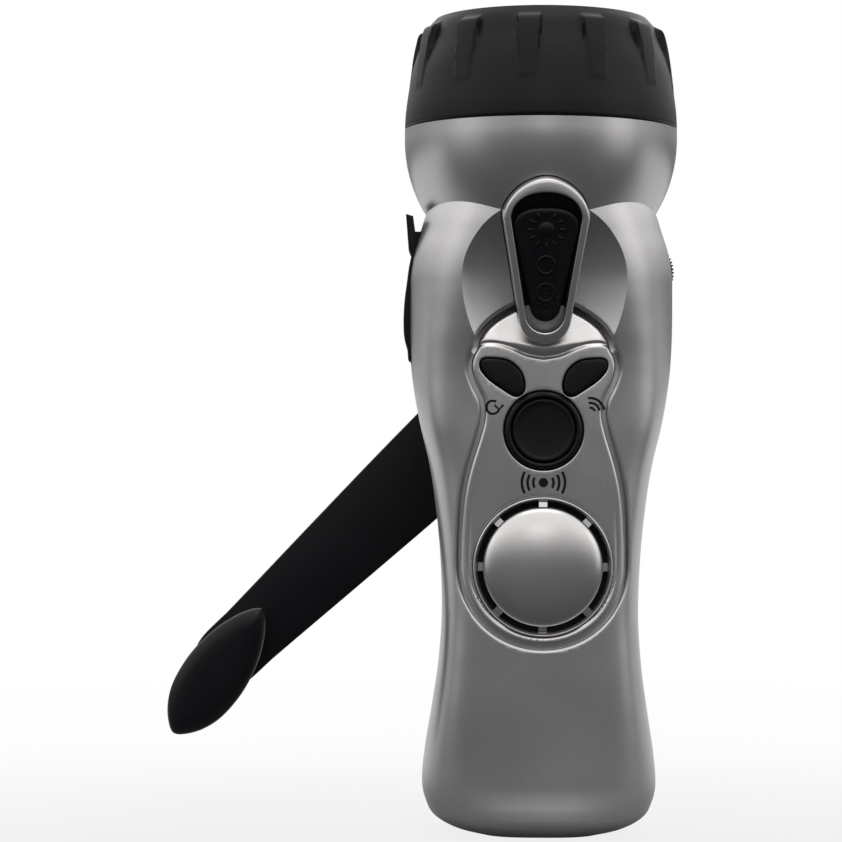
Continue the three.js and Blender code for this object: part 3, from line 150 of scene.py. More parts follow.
# Line of the panel's crease, as (x, z), and the rows of points along it
CREASE = [(0, 110.3), (3.8, 111.0), (7.2, 112.4), (9.6, 113.2), (12.5, 113.5), (14.9, 112.9), (20, 110)]
CREASE_ROWS = [-0.75, -0.6, -0.45, -0.3, -0.15, 0, 0.12, 0.25, 0.4, 0.6, 0.85, 1.1, 1.4, 1.75, 2.1]


def curve_at(table, place):
    """Value of a smooth curve through (place, value) pairs, which never overshoots."""
    xs = [p[0] for p in table]
    if place <= xs[0]:
        return table[0][1]
    if place >= xs[-1]:
        return table[-1][1]
    right = next(k for k, x in enumerate(xs) if x > place)

    def slope(a, b):
        return (table[b][1] - table[a][1]) / (table[b][0] - table[a][0])

    def tangent(k):
        if k == 0:
            return slope(0, 1)
        if k == len(table) - 1:
            return slope(k - 1, k)
        a, b = slope(k - 1, k), slope(k, k + 1)
        return 0 if a * b <= 0 else math.copysign(min(abs(a + b) / 2, 3 * abs(a), 3 * abs(b)), a)

    span = xs[right] - xs[right - 1]
    t = (place - xs[right - 1]) / span
    fall = t * t * (3 - 2 * t)
    rise = t * (1 - t) * (1 - t) * span * tangent(right - 1) + t * t * (t - 1) * span * tangent(right)
    return table[right - 1][1] * (1 - fall) + table[right][1] * fall + rise


# Mesh helpers


def new_object(name, verts, faces):
    mesh = bpy.data.meshes.new(name)
    mesh.from_pydata([tuple(float(c) * MM for c in v) for v in verts], [], [tuple(f) for f in faces])
    mesh.validate()
    thing = bpy.data.objects.new(name, mesh)
    bpy.context.scene.collection.objects.link(thing)
    return thing


def outward(thing):
    """Turns the faces of a closed mesh outwards."""
    mesh = thing.data
    mesh.calc_loop_triangles()
    count = len(mesh.loop_triangles)
    corners = np.empty(count * 3, dtype=np.int32)
    mesh.loop_triangles.foreach_get("vertices", corners)
    points = np.empty(len(mesh.vertices) * 3)
    mesh.vertices.foreach_get("co", points)
    tri = points.reshape(-1, 3)[corners.reshape(-1, 3)]
    if np.einsum("ij,ij->i", tri[:, 0], np.cross(tri[:, 1], tri[:, 2])).sum() < 0:
        mesh.flip_normals()
    return thing


def moved(thing, matrix):
    thing.data.transform(matrix)
    return thing


def shifted(thing, x, y, z):
    return moved(thing, Matrix.Translation((x * MM, y * MM, z * MM)))


def loft(name, rings, wrap=False):
    """Skin over rings of equal point counts; wrap joins the last ring to the first."""
    count = len(rings[0])
    verts = [point for ring in rings for point in ring]
    rows = len(rings) if wrap else len(rings) - 1
    faces = []
    for row in range(rows):
        near, far = row * count, (row + 1) % len(rings) * count
        for k in range(count):
            other = (k + 1) % count
            faces.append((near + k, near + other, far + other, far + k))
    if not wrap:
        faces.append(tuple(range(count))[::-1])
        faces.append(tuple(range(len(verts) - count, len(verts))))
    return outward(new_object(name, verts, faces))


def circle(radius, z, segments, centre):
    turns = (2 * math.pi * k / segments for k in range(segments))
    return [(centre[0] + radius * math.cos(t), centre[1] + radius * math.sin(t), z) for t in turns]


def lathe_z(name, profile, segments, closed=False, centre=(0.0, 0.0)):
    """Lathe about Z through (radius, z). An open profile ends in caps."""
    rings = [circle(max(r, TINY), z, segments, centre) for r, z in profile]
    return loft(name, rings, wrap=closed)


def lathe_y(name, profile, segments, closed=False, centre=(0.0, 0.0)):
    """The same about a line along Y, through (radius, y); centre is (x, z)."""
    thing = lathe_z(name, profile, segments, closed)
    return shifted(moved(thing, Matrix.Rotation(-math.pi / 2, 4, "X")), centre[0], 0, centre[1])


def rounded(points, radius, steps=4, closed=False):
    """Rounds the corners of a profile of (a, b) points. An open one keeps its two ends."""
    count = len(points)
    out = [] if closed else [points[0]]
    for k in range(count) if closed else range(1, count - 1):
        here = Vector(points[k])
        before, after = Vector(points[k - 1]) - here, Vector(points[(k + 1) % count]) - here
        reach = min(radius, before.length * 0.45, after.length * 0.45)
        if reach < 1e-4:
            continue
        start, end = here + before.normalized() * reach, here + after.normalized() * reach
        for step in range(steps + 1):
            t = step / steps
            out.append(tuple(start * (1 - t) ** 2 + here * 2 * t * (1 - t) + end * t * t))
    return out if closed else [*out, points[-1]]


def spline(points, per):
    """Curve through points, from the second to the last but one."""
    out = []
    for k in range(1, len(points) - 2):
        p0, p1, p2, p3 = (Vector(points[k + step]) for step in (-1, 0, 1, 2))
        for step in range(per):
            t = step / per
            out.append(tuple(0.5 * (
                2 * p1 + (p2 - p0) * t + (2 * p0 - 5 * p1 + 4 * p2 - p3) * t * t
                + (3 * p1 - p0 - 3 * p2 + p3) * t ** 3)))
    return out


def smooth_loop(points, per):
    """Closed curve through points."""
    return spline([points[-1], *points, points[0], points[1]], per)


def smooth_open(points, per):
    """Open curve through points."""
    return [*spline([points[0], *points, points[-1]], per), tuple(points[-1])]


def resample(points, count):
    """Closed outline as count points at equal spacing."""
    ring = np.array([*points, points[0]], dtype=float)
    run = np.concatenate([[0], np.cumsum(np.linalg.norm(np.diff(ring, axis=0), axis=1))])
    at = np.linspace(0, run[-1], count, endpoint=False)
    return list(zip(np.interp(at, run, ring[:, 0]), np.interp(at, run, ring[:, 1])))


def offset(points, distance):
    """Closed outline moved out by a distance."""
    ring = np.array(points, dtype=float)
    area = np.sum(ring[:, 0] * np.roll(ring[:, 1], -1) - np.roll(ring[:, 0], -1) * ring[:, 1])
    along = np.roll(ring, -1, axis=0) - np.roll(ring, 1, axis=0)
    along /= np.linalg.norm(along, axis=1)[:, None]
    out = np.stack([along[:, 1], -along[:, 0]], axis=1) * np.sign(area)
    return [tuple(p) for p in ring + out * distance]


def prism(name, outline, low, high):
    """Closed outline in x and z, from one y to another."""
    return loft(name, [[(x, y, z) for x, z in outline] for y in (low, high)])


def terrace(name, outline, steps):
    """Outline that steps in and out on its way along y, through (inset, y)."""
    return loft(name, [
        [(x, y, z) for x, z in (offset(outline, -inset) if inset else outline)] for inset, y in steps
    ])


def block(name, low, high):
    (x0, y0, z0), (x1, y1, z1) = low, high
    ring = [(x0, y0), (x1, y0), (x1, y1), (x0, y1)]
    return loft(name, [[(x, y, z) for x, y in ring] for z in (z0, z1)])


def rod_y(name, radius, x, z, low, high, segments=32):
    return lathe_y(name, [(0, low), (radius, low), (radius, high), (0, high)], segments, centre=(x, z))


def rod_x(name, radius, y, z, low, high, segments=32):
    thing = lathe_z(name, [(0, low), (radius, low), (radius, high), (0, high)], segments)
    return outward(shifted(moved(thing, Matrix.Rotation(math.pi / 2, 4, "Y")), 0, y, z))


def lattice(outline, spacing, start=0.0):
    """Staggered rows of points over the box of an outline."""
    xs, zs = zip(*outline)
    return [
        (x, z)
        for row, z in enumerate(np.arange(min(zs) + start, max(zs), spacing * 0.87))
        for x in np.arange(min(xs) + (row % 2) * spacing / 2, max(xs), spacing)
    ]


def chained(loops):
    """Points of closed outlines, and the edges that join them."""
    points, edges = [], []
    for loop in loops:
        start = len(points)
        points.extend(loop)
        edges.extend((start + k, start + (k + 1) % len(loop)) for k in range(len(loop)))
    return points, edges


def triangles(points, edges, outline, holes, tolerance):
    """Points in two dimensions joined inside an outline and outside its holes."""
    verts, _, faces, _, _, _ = delaunay_2d_cdt([Vector(p) for p in points], edges, [], 1, tolerance)
    table = np.array([tuple(v) for v in verts])
    centres = np.array([table[list(face)].mean(axis=0) for face in faces])
    inside = within(centres, outline)
    for loop in holes:
        inside &= ~within(centres, loop)
    return table, [tuple(face) for face, kept in zip(faces, inside) if kept]


def fill(outline, spacing):
    """Triangles over an outline."""
    points, edges = chained([outline])
    grid = lattice(outline, spacing, spacing / 2)
    inside = within(grid, outline) & (distance_to(grid, outline) > spacing * 0.6)
    points.extend(p for p, keep in zip(grid, inside) if keep)
    return triangles(points, edges, outline, [], 1e-5)


def guided(outline, holes, guides, spacing):
    """Triangles over an outline with holes, with rows of points along the guide lines and the panel's crease."""
    points, edges = chained([outline, *holes])
    extra = [p for guide in guides for p in guide]
    bands = [(x, curve_at(CREASE, abs(x)) + rise) for x in np.arange(-14.5, 14.6, 0.3) for rise in CREASE_ROWS]
    grid = lattice(outline, spacing)
    far = distance_to(grid, outline) > 2.3
    for loop in holes:
        far &= distance_to(grid, loop) > 0.6
    rise = np.array([z - curve_at(CREASE, abs(x)) for x, z in grid])
    far &= (rise < -1) | (rise > 2.4)
    candidates = [*extra, *bands, *[p for p, keep in zip(grid, far) if keep]]
    keep = within(candidates, outline) & (distance_to(candidates, outline) > 0.05)
    for loop in holes:
        keep &= ~within(candidates, loop) & (distance_to(candidates, loop) > 0.04)
    points.extend(p for p, kept in zip(candidates, keep) if kept)
    return triangles(points, edges, outline, holes, 1e-4)


def distance_to(points, outline):
    """Distance of each point from a closed outline."""
    p = np.array(points)[:, None, :]
    a = np.array(outline)[None, :, :]
    b = np.roll(a, -1, axis=1)
    along = b - a
    t = np.clip(np.sum((p - a) * along, axis=2) / np.maximum(np.sum(along * along, axis=2), 1e-12), 0, 1)
    return np.min(np.linalg.norm(p - a - along * t[:, :, None], axis=2), axis=1)


def within(points, outline):
    """Whether each point is inside a closed outline."""
    p = np.array(points)
    ring = np.array(outline)
    nxt = np.roll(ring, -1, axis=0)
    x, z = p[:, 0][:, None], p[:, 1][:, None]
    crosses = (ring[:, 1] > z) != (nxt[:, 1] > z)
    with np.errstate(divide="ignore", invalid="ignore"):
        at = ring[:, 0] + (z - ring[:, 1]) * (nxt[:, 0] - ring[:, 0]) / (nxt[:, 1] - ring[:, 1])
    return np.sum(crosses & (x < at), axis=1) % 2 == 1


def slab(name, x, z, near, far, faces):
    """Closed solid between two sheets over the same points, at y near and y far."""
    count = len(x)
    verts = [*zip(x, near, z), *zip(x, far, z)]
    both = [tuple(f) for f in faces] + [tuple(count + k for k in f)[::-1] for f in faces]
    return consistent(new_object(name, verts, both + walls(faces, count)))


def match(outline, points):
    """Index of the point that lies at each place of an outline."""
    table = np.array(points)
    return [int(np.argmin(np.sum((table - np.array(p)) ** 2, axis=1))) for p in outline]


def walls(tris, count):
    """Quads along the open edges of a sheet, down to its copy."""
    edges = {}
    for face in tris:
        for a, b in zip(face, (*face[1:], face[0])):
            edges[(a, b)] = True
    return [(b, a, a + count, b + count) for a, b in edges if (b, a) not in edges]


def consistent(thing):
    """Makes the faces of a closed mesh agree and face outwards."""
    work = bmesh.new()
    work.from_mesh(thing.data)
    bmesh.ops.remove_doubles(work, verts=work.verts, dist=1e-7)
    bmesh.ops.recalc_face_normals(work, faces=work.faces)
    work.to_mesh(thing.data)
    work.free()
    return outward(thing)


def combine(body, operation, *tools):
    """Applies one boolean after another and removes the tools."""
    for tool in tools:
        step = body.modifiers.new("step", "BOOLEAN")
        step.operation = operation
        step.solver = "MANIFOLD"
        step.object = tool
    bpy.context.view_layer.update()
    done = bpy.data.meshes.new_from_object(body.evaluated_get(bpy.context.evaluated_depsgraph_get()))
    body.modifiers.clear()
    body.data = done
    for tool in tools:
        bpy.data.objects.remove(tool)
    return body


def on_switch(thing):
    """From the frame of the switch (x across, y into the torch, z up its slope) to the torch."""
    return shifted(moved(thing, Matrix.Rotation(TILT, 4, "X")), *SWITCH_AT)


def on_crank(thing):
    """From the crank hanging straight down from its own origin to its place at rest."""
    return shifted(moved(thing, Matrix.Rotation(SWING, 4, "Y")), 0, 0, CRANK_Z)


def piece(thing, body, slot, nodes=(), angle=32):
    """Gives a finished mesh its material, shading and body, and hides the solids that it stands for."""
    mesh = thing.data
    mesh.materials.clear()
    mesh.materials.append(MATERIALS[slot])
    for face in mesh.polygons:
        face.material_index = 0
    mesh.shade_smooth()
    mesh.set_sharp_from_angle(angle=math.radians(angle))
    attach(thing, body)
    if nodes:
        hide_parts(*nodes)
    return thing


# Body surfaces


def smooth_max(a, b, width):
    reach = np.maximum(width - np.abs(a - b), 0) / width
    return np.maximum(a, b) + reach * reach * width / 4


def smooth_min(a, b, width):
    return -smooth_max(-a, -b, width)


def half_width(z):
    return GRIP * curve_at(WIDTHS, z / SHOULDER)


def section(z):
    """Half-width, front and rear depth, and squareness of the handle at one height."""
    share = z / SHOULDER
    return half_width(z), FRONT * curve_at(FRONTS, share), REAR * curve_at(REARS, share), curve_at(SQUARES, share)


def soft_step(value, low, high):
    t = np.clip((value - low) / (high - low), 0, 1)
    return t * t * (3 - 2 * t)


def handle_reach(angles, z, inset=0.0):
    """Distance from the Z axis to the handle's skin at each angle."""
    half, front, rear, square = section(z)
    c, s = np.abs(np.cos(angles)), np.abs(np.sin(angles))
    ahead = np.sin(angles) < 0
    power = np.where(ahead, square, REAR_SQUARE)
    depth = np.where(ahead, front, rear) - inset
    return ((c / (half - inset)) ** power + (s / depth) ** power) ** (-1 / power)


def dish_front(x, z, extra=0.0):
    """y of the dish's surface, which is shorter above its deepest place than below it."""
    high = np.where(z > DISH_Z, DISH_UP, DISH_DOWN)
    out = (x / DISH_HALF) ** 2 + ((z - DISH_Z) / high) ** 2
    return DISH_FLOOR + extra - DISH_DEPTH * (out + DISH_RIM * out * out)


def dish_reach(angles, z, extra):
    """Distance from the Z axis to the dish at each angle, or far off where there is none."""
    steps = np.linspace(4, 48, 177)
    x, y = np.outer(np.cos(angles), steps), np.outer(np.sin(angles), steps)
    ahead = y - dish_front(x, z, extra)
    first = np.argmax(ahead < 0, axis=1)
    found = (ahead < 0).any(axis=1) & (first > 0)
    row = np.arange(len(angles))
    before, after = ahead[row, first - 1], ahead[row, first]
    share = before / np.where(found, before - after, 1.0)
    return np.where(found, steps[first - 1] + share * (steps[1] - steps[0]), AWAY)


def bell_reach(z, inset=0.0):
    if z >= BELL_CENTRE:
        return HEAD_RADIUS - inset
    share = (z - BELL_CENTRE) / (BELL_RISE - inset)
    return (HEAD_RADIUS - inset) * math.sqrt(max(0.0, 1 - share * share))


def polar(reach, angles, z):
    """Ring at one height, at a distance from the Z axis for each angle."""
    return [(r * math.cos(a), r * math.sin(a), z) for r, a in zip(reach, angles)]


def room_ring(angles, z, inset):
    """Ring at one height that lies inset behind the body's outside."""
    if z < SHOULDER:
        reach = handle_reach(angles, z, inset)
        reach = smooth_min(reach, dish_reach(angles, z, inset), 0.3)
    else:
        reach = np.zeros_like(angles)
    round_part = bell_reach(z, inset)
    if round_part > 1:
        reach = smooth_max(reach, np.full_like(angles, round_part), 0.6)
    return polar(reach, angles, z)


def angles_of(fine, coarse):
    """Angles round the body: fine spacing in front, coarse behind, in degrees."""
    front = np.arange(-180 + 14, -14, fine)
    rest = np.arange(-14, 180 + 14, coarse)
    return np.radians(np.concatenate([front, rest]))


def heights_of(spans):
    """Heights from span to span, each (low, high, step)."""
    rows = [spans[0][0]]
    for low, high, step in spans:
        count = max(1, round((high - low) / step))
        rows.extend(low + (high - low) * (k + 1) / count for k in range(count))
    return rows


def skin(name, fine, coarse, step, inset=0.0):
    """The body's outside, or its room where inset is given."""
    angles = angles_of(fine, coarse)
    if inset:
        rows = heights_of([(inset, 6, 1.2), (6, 140, step * 3), (140, BELL_CENTRE, step)])
        return loft(name, [room_ring(angles, z, inset) for z in rows])
    rows = heights_of([(0, 0.6, 0.15), (0.6, 3, 0.3), (3, 8, 0.5), (8, 104, step), (104, SHOULDER, step * 0.6)])
    rings = [polar(handle_reach(angles, z), angles, z) for z in rows]
    globe = [(bell_reach(z), z) for z in np.linspace(BELL_CENTRE - BELL_RISE + 0.2, BELL_CENTRE, 64)]
    bell = lathe_z("bell", [*globe, (HEAD_RADIUS, BELL_TOP)], 300)
    return combine(combine(loft(name, rings), "DIFFERENCE", dish_tool()), "UNION", bell)


def dish_tool():
    """What the dish takes away: its surface, closed far in front of the handle."""
    xs, zs = np.linspace(-25, 25, 101), np.linspace(94, 152, 117)
    x, z = np.meshgrid(xs, zs)
    y = np.maximum(dish_front(x, z), -50)
    wide = len(xs)
    faces = [
        (row * wide + k, row * wide + k + 1, (row + 1) * wide + k + 1, (row + 1) * wide + k)
        for row in range(len(zs) - 1) for k in range(wide - 1)
    ]
    return slab("dish_tool", x.ravel(), z.ravel(), y.ravel(), np.full(x.size, FORE), faces)


def handle_front(x, z, proud=0.0, level=False):
    """y of the handle's front at (x, z), arrays, without the dish, or of the panel's seat, which stays level."""
    out = np.empty(len(x))
    for k, (px, pz) in enumerate(zip(x, z)):
        half, front, rear, square = section(pz)
        front = min(front, FRONT) if level else front
        share = min(abs(px) / (half + proud), 0.999)
        out[k] = -(front + proud) * (1 - share ** square) ** (1 / square)
    return out


def shell_front(x, z):
    """y of the shell's front with the dish scooped out."""
    return smooth_max(handle_front(x, z), dish_front(x, z), 0.05)


# Outlines


def bulged(value, power):
    return math.copysign(abs(value) ** power, value)


def teardrop(wide, narrow, length, rise, squareness):
    """Outline with a broad round top, straight flanks and a narrow round foot that lies length lower."""
    lean = math.asin((wide - narrow) / length)
    steps = 60

    def foot(angle):
        return narrow * math.cos(angle), narrow * math.sin(angle) - length

    def flank(start, end):
        shares = [k / (steps // 3) for k in range(1, steps // 3)]
        return [tuple(a * (1 - share) + b * share for a, b in zip(start, end)) for share in shares]

    top = []
    for k in range(steps + 1):
        c, s = math.cos(math.pi * k / steps), math.sin(math.pi * k / steps)
        high = rise * s ** (2 / squareness) if s > 1e-9 else 0.0
        top.append((wide * bulged(c, 2 / squareness), high))
    low = [foot(math.pi + lean + (math.pi - 2 * lean) * k / steps) for k in range(steps + 1)]
    return [*top, *flank(top[-1], foot(math.pi + lean)), *low, *flank(foot(-lean), top[0])]


BEZEL = teardrop(9.85, 6, 22.6, 9.4, 1.8)
PIT = teardrop(7.9, 4.4, 21.3, 5.9, 2.2)
ROCKER = [(x, z - 2.1) for x, z in teardrop(7.4, 3.4, 17.9, 4.7, 2.6)]

PANEL_SHARES = [
    (1, 0.353), (0.975, 0.53), (0.943, 0.69), (0.909, 0.785), (0.885, 0.808), (0.858, 0.862), (0.824, 0.882),
    (0.78, 0.828), (0.729, 0.732), (0.68, 0.718), (0.625, 0.766), (0.526, 0.89), (0.439, 0.965), (0.33, 0.995),
]


def panel_outline():
    height = PANEL_TOP - PANEL_BOTTOM
    right = [(out * PANEL_HALF, PANEL_BOTTOM + up * height) for up, out in PANEL_SHARES]
    centre = PANEL_BOTTOM + PANEL_HALF
    arc = [
        (PANEL_HALF * math.cos(angle), centre + PANEL_HALF * math.sin(angle))
        for angle in np.linspace(0, -math.pi / 2, 12)
    ]
    side = smooth_open([*right, *arc], 8)
    full = [*side, *[(-x, z) for x, z in side[::-1]][1:]]
    return resample(full, 420)


PANEL = panel_outline()

BUTTON = [
    (-4.79, 3.09), (-4.5, 3.82), (-3.36, 4.12), (-0.72, 4.0), (1.44, 3.48), (3.21, 2.13), (4.22, 0.7),
    (4.76, -1.08), (4.75, -2.76), (4.2, -3.72), (3.21, -4.05), (2.16, -3.72), (-0.24, -2.18), (-2.64, -0.46),
    (-4.17, 1.17), (-4.72, 2.2),
]


def button_outline(side):
    return resample(smooth_loop([(side * (BUTTON_X - x), BUTTON_Z + z) for x, z in BUTTON], 6), 120)


def ring_outline(radius, x, z, count=96):
    return [(px, pz) for px, pz, _ in circle(radius, 0, count, (x, z))]


# Materials


def look(name):
    """New material, its tree and its shader."""
    material = bpy.data.materials.new(name)
    material.use_nodes = True
    tree = material.node_tree
    return material, tree, tree.nodes["Principled BSDF"]


def add_node(tree, kind, values=None, **settings):
    """New shader node. Its inputs take numbers, colours and the outputs of other nodes."""
    made = tree.nodes.new("ShaderNode" + kind)
    for key, value in settings.items():
        setattr(made, key, value)
    for key, value in (values or {}).items():
        if isinstance(value, bpy.types.NodeSocket):
            tree.links.new(value, made.inputs[key])
        else:
            made.inputs[key].default_value = value
    return made


def noise(tree, scale, detail, roughness=0.5):
    where = add_node(tree, "TexCoord").outputs["Object"]
    values = {"Scale": scale, "Detail": detail, "Roughness": roughness, "Vector": where}
    return add_node(tree, "TexNoise", values).outputs["Fac"]


def ramp(tree, source, low, high, out_low, out_high):
    values = {"From Min": low, "From Max": high, "To Min": out_low, "To Max": out_high, "Value": source}
    return add_node(tree, "MapRange", values).outputs["Result"]


def tint(tree, share, a, b):
    """Colour between a and b, by share."""
    values = {"A": (*a, 1), "B": (*b, 1), "Factor": share}
    return add_node(tree, "Mix", values, data_type="RGBA").outputs["Result"]


def blend(tree, share, a, b):
    """Number between a and b, by share."""
    return add_node(tree, "Mix", {"A": a, "B": b, "Factor": share}, data_type="FLOAT").outputs["Result"]


def plus(tree, a, b):
    """Sum of two numbers, held to 1."""
    return add_node(tree, "Math", {0: a, 1: b}, operation="ADD", use_clamp=True).outputs["Value"]


def times(tree, a, b):
    return add_node(tree, "Math", {0: a, 1: b}, operation="MULTIPLY").outputs["Value"]


def bump(tree, shader, source, distance, strength):
    made = add_node(tree, "Bump", {"Strength": strength, "Distance": distance, "Height": source})
    tree.links.new(made.outputs["Normal"], shader.inputs["Normal"])


def finish_look(name, dark, light, rough, grain, patch, metallic=0.0, grain_depth=0.00002, grain_strength=0.4,
                specular=0.5):
    """Moulded or painted surface: fine grain, and a slow drift of tone and gloss."""
    material, tree, shader = look(name)
    drift = noise(tree, patch, 3.0)
    fine = noise(tree, grain, 2.0, 0.6)
    mixed = plus(tree, times(tree, drift, 0.5), times(tree, fine, 0.5))
    colour = tint(tree, ramp(tree, mixed, 0.3, 0.7, 0.0, 1.0), dark, light)
    gloss = ramp(tree, drift, 0.3, 0.7, rough[0], rough[1])
    tree.links.new(colour, shader.inputs["Base Color"])
    tree.links.new(gloss, shader.inputs["Roughness"])
    shader.inputs["Metallic"].default_value = metallic
    shader.inputs["Specular IOR Level"].default_value = specular
    bump(tree, shader, fine, grain_depth, grain_strength)
    return material


def clear_look(name):
    material, tree, shader = look(name)
    smear = noise(tree, 45.0, 3.0)
    tree.links.new(ramp(tree, smear, 0.3, 0.75, 0.02, 0.07), shader.inputs["Roughness"])
    tree.links.new(tint(tree, smear, (0.93, 0.96, 0.97), (0.98, 0.99, 1.0)), shader.inputs["Base Color"])
    shader.inputs["Transmission Weight"].default_value = 1.0
    shader.inputs["IOR"].default_value = 1.46
    return material


def board_look(name):
    """Solder mask over faint tracks."""
    material, tree, shader = look(name)
    brick = add_node(tree, "TexBrick", {
        "Scale": 260.0, "Color1": (0.02, 0.15, 0.06, 1), "Color2": (0.025, 0.18, 0.075, 1),
        "Mortar": (0.05, 0.27, 0.12, 1), "Mortar Size": 0.03, "Vector": add_node(tree, "TexCoord").outputs["Object"],
    })
    tree.links.new(brick.outputs["Color"], shader.inputs["Base Color"])
    shader.inputs["Roughness"].default_value = 0.35
    bump(tree, shader, brick.outputs["Fac"], 0.00004, 0.4)
    return material


MATERIALS = {
    "silver_paint": finish_look(
        "silver_paint", (0.44, 0.428, 0.428), (0.56, 0.547, 0.547), (0.3, 0.36), metallic=0.96, grain=3600.0,
        grain_depth=0.000012, grain_strength=0.3, patch=26.0),
    "silver_trim": finish_look(
        "silver_trim", (0.5, 0.488, 0.48), (0.6, 0.588, 0.58), (0.24, 0.3), metallic=0.97, grain=3800.0,
        grain_depth=0.000008, grain_strength=0.25, patch=32.0),
    "black_plastic": finish_look(
        "black_plastic", (0.0018, 0.002, 0.0034), (0.0034, 0.0038, 0.0058), (0.34, 0.42), grain=3200.0,
        grain_depth=0.00003, grain_strength=0.35, patch=40.0, specular=0.2),
    "black_rubber": finish_look(
        "black_rubber", (0.0018, 0.002, 0.003), (0.0036, 0.004, 0.0056), (0.42, 0.52), grain=2200.0,
        grain_depth=0.00004, grain_strength=0.35, patch=50.0, specular=0.18),
    "clear_plastic": clear_look("clear_plastic"),
    "chrome": finish_look(
        "chrome", (0.78, 0.78, 0.79), (0.86, 0.86, 0.87), (0.06, 0.1), metallic=1.0, grain=400.0,
        grain_depth=0.00001, grain_strength=0.1, patch=60.0),
    "steel": finish_look(
        "steel", (0.42, 0.42, 0.43), (0.56, 0.56, 0.57), (0.26, 0.38), metallic=1.0, grain=1800.0,
        grain_depth=0.00002, grain_strength=0.3, patch=90.0),
    "nylon": finish_look(
        "nylon", (0.7, 0.66, 0.56), (0.8, 0.77, 0.68), (0.4, 0.52), grain=900.0, grain_depth=0.00003, patch=60.0),
    "board": board_look("board"),
    "cell": finish_look(
        "cell", (0.03, 0.17, 0.08), (0.05, 0.23, 0.11), (0.28, 0.36), metallic=0.2, grain=700.0, patch=80.0),
}

for node_name, node in NODES.items():
    slot = next((row["material_slot"] for row in frame["record"]["subparts"] if row["node"] == node_name), None)
    if slot in MATERIALS:
        if not node.material_slots:
            node.data.materials.append(MATERIALS[slot])
        for holder in node.material_slots:
            holder.material = MATERIALS[slot]

# Shells


def bezel_cutter(extra):
    return on_switch(prism("bezel_cutter", offset(BEZEL, extra), 22, -16))


def bed_rings():
    """Sides of the panel's bed, from its floor over its rounded lip to far in front of it."""
    lip = [(1.0, PANEL_SINK), (1.0, 0.75), (1.06, 0.48), (1.22, 0.24), (1.5, 0.07), (1.85, -0.02), (2.0, -0.04)]
    rings = []
    for out, down in lip:
        x, z = np.array(offset(PANEL, out)).T
        y = shell_front(x, z) + down
        rings.append(list(zip(x, y, z)))
    rings.append([(x, FORE, z) for x, y, z in rings[-1]])
    return rings


def lean_back(z):
    """How much further back the panel lies at its head."""
    return 0.48 * np.maximum(z - 112, 0)


def panel_band():
    """Thicker wall round the panel, out of sight behind the dish."""
    rings = []
    for out in (0.0, 1.0, 2.0, BAND_REACH):
        x, z = np.array(offset(PANEL, out)).T
        rings.append(list(zip(x, shell_front(x, z) + 0.7, z)))
    for out in (BAND_REACH, 0.0):
        x, z = np.array(offset(PANEL, out)).T
        raised = soft_step(z, 108, 113)
        y = (shell_front(x, z) + 2.2) * (1 - raised) + BAND_BACK * raised
        rings.append(list(zip(x, y, z)))
    return loft("panel_band", rings, wrap=True)


def panel_bed():
    """Solid in front of the bed's floor, which follows the handle a wall's thickness down."""
    rings = bed_rings()
    outline = [(x, z) for x, y, z in rings[0]]
    floor_points, floor_faces = fill(outline, 2.0)
    x, z = np.array(floor_points).T
    floor_y = handle_front(x, z, level=True) + PANEL_SINK + lean_back(z)
    count = len(outline)
    verts = list(zip(x, floor_y, z))
    order = match(outline, floor_points)
    rings[0] = [verts[k] for k in order]
    faces = [tuple(f) for f in floor_faces]
    base = len(verts)
    for ring in rings[1:]:
        verts.extend(ring)
    previous = order
    for row in range(len(rings) - 1):
        here = [base + row * count + k for k in range(count)]
        for k in range(count):
            other = (k + 1) % count
            faces.append((previous[k], previous[other], here[other], here[k]))
        previous = here
    faces.append(tuple(previous))
    return consistent(new_object("panel_bed", verts, faces))


def edge_drop(distance, radius):
    t = np.clip(1 - distance / radius, 0, 1)
    return radius * (1 - np.sqrt(1 - t * t))


def half_space(low, high):
    return block("half_space", (-AWAY, low, -9), (AWAY, high, 220))


def shell_halves():
    """Front and rear shell, still without their ribs and holes."""
    outside = skin("outside", fine=0.9, coarse=2.0, step=0.9)
    pad = [(0, PARTING), (13.4, PARTING), (13.4, 25.3), (12.8, 26.1), (12.8, REAR + GAP), (0, REAR + GAP)]
    combine(outside, "UNION", lathe_y("pad", rounded(pad, 0.5), 96, centre=(0, CRANK_Z)))
    combine(outside, "DIFFERENCE", skin("room", inset=WALL, fine=5.0, coarse=6.0, step=3.0))
    combine(outside, "DIFFERENCE", lathe_z("bore", [(0, 159), (25, 159), (25, 175), (0, 175)], 96))
    collar = [(25, 162.0), (29, 162.0), (29, 169.7), (27.2, 169.7), (27.2, COLLAR_TOP), (25, COLLAR_TOP)]
    combine(outside, "UNION", lathe_z("collar", collar, 96, True))
    behind = bpy.data.objects.new("rear_skin", outside.data.copy())
    bpy.context.scene.collection.objects.link(behind)
    combine(outside, "INTERSECT", half_space(-AWAY, PARTING - GAP / 2))
    combine(behind, "INTERSECT", half_space(PARTING + GAP / 2, AWAY))
    return combine(outside, "UNION", seam_lip()), behind


def seam_lip():
    """Band inside the front shell's edge that closes the seam from within."""
    lip = skin("lip", inset=0.6, fine=2.0, coarse=3.0, step=1.5)
    combine(lip, "DIFFERENCE", skin("lip_room", inset=1.4, fine=2.0, coarse=3.0, step=1.5))
    return combine(lip, "INTERSECT", half_space(PARTING - GAP, PARTING + GAP / 2))


def ribs_in(ribs):
    """Joins inner ribs and trims them to the inside of the skin."""
    first, *others = ribs
    combine(first, "UNION", *others)
    limit = skin("limit", fine=4.0, coarse=5.0, step=2.5)
    shifted(moved(limit, Matrix.Diagonal((0.97, 0.97, 0.985, 1))), 0, 0, 1)
    return combine(first, "INTERSECT", limit)


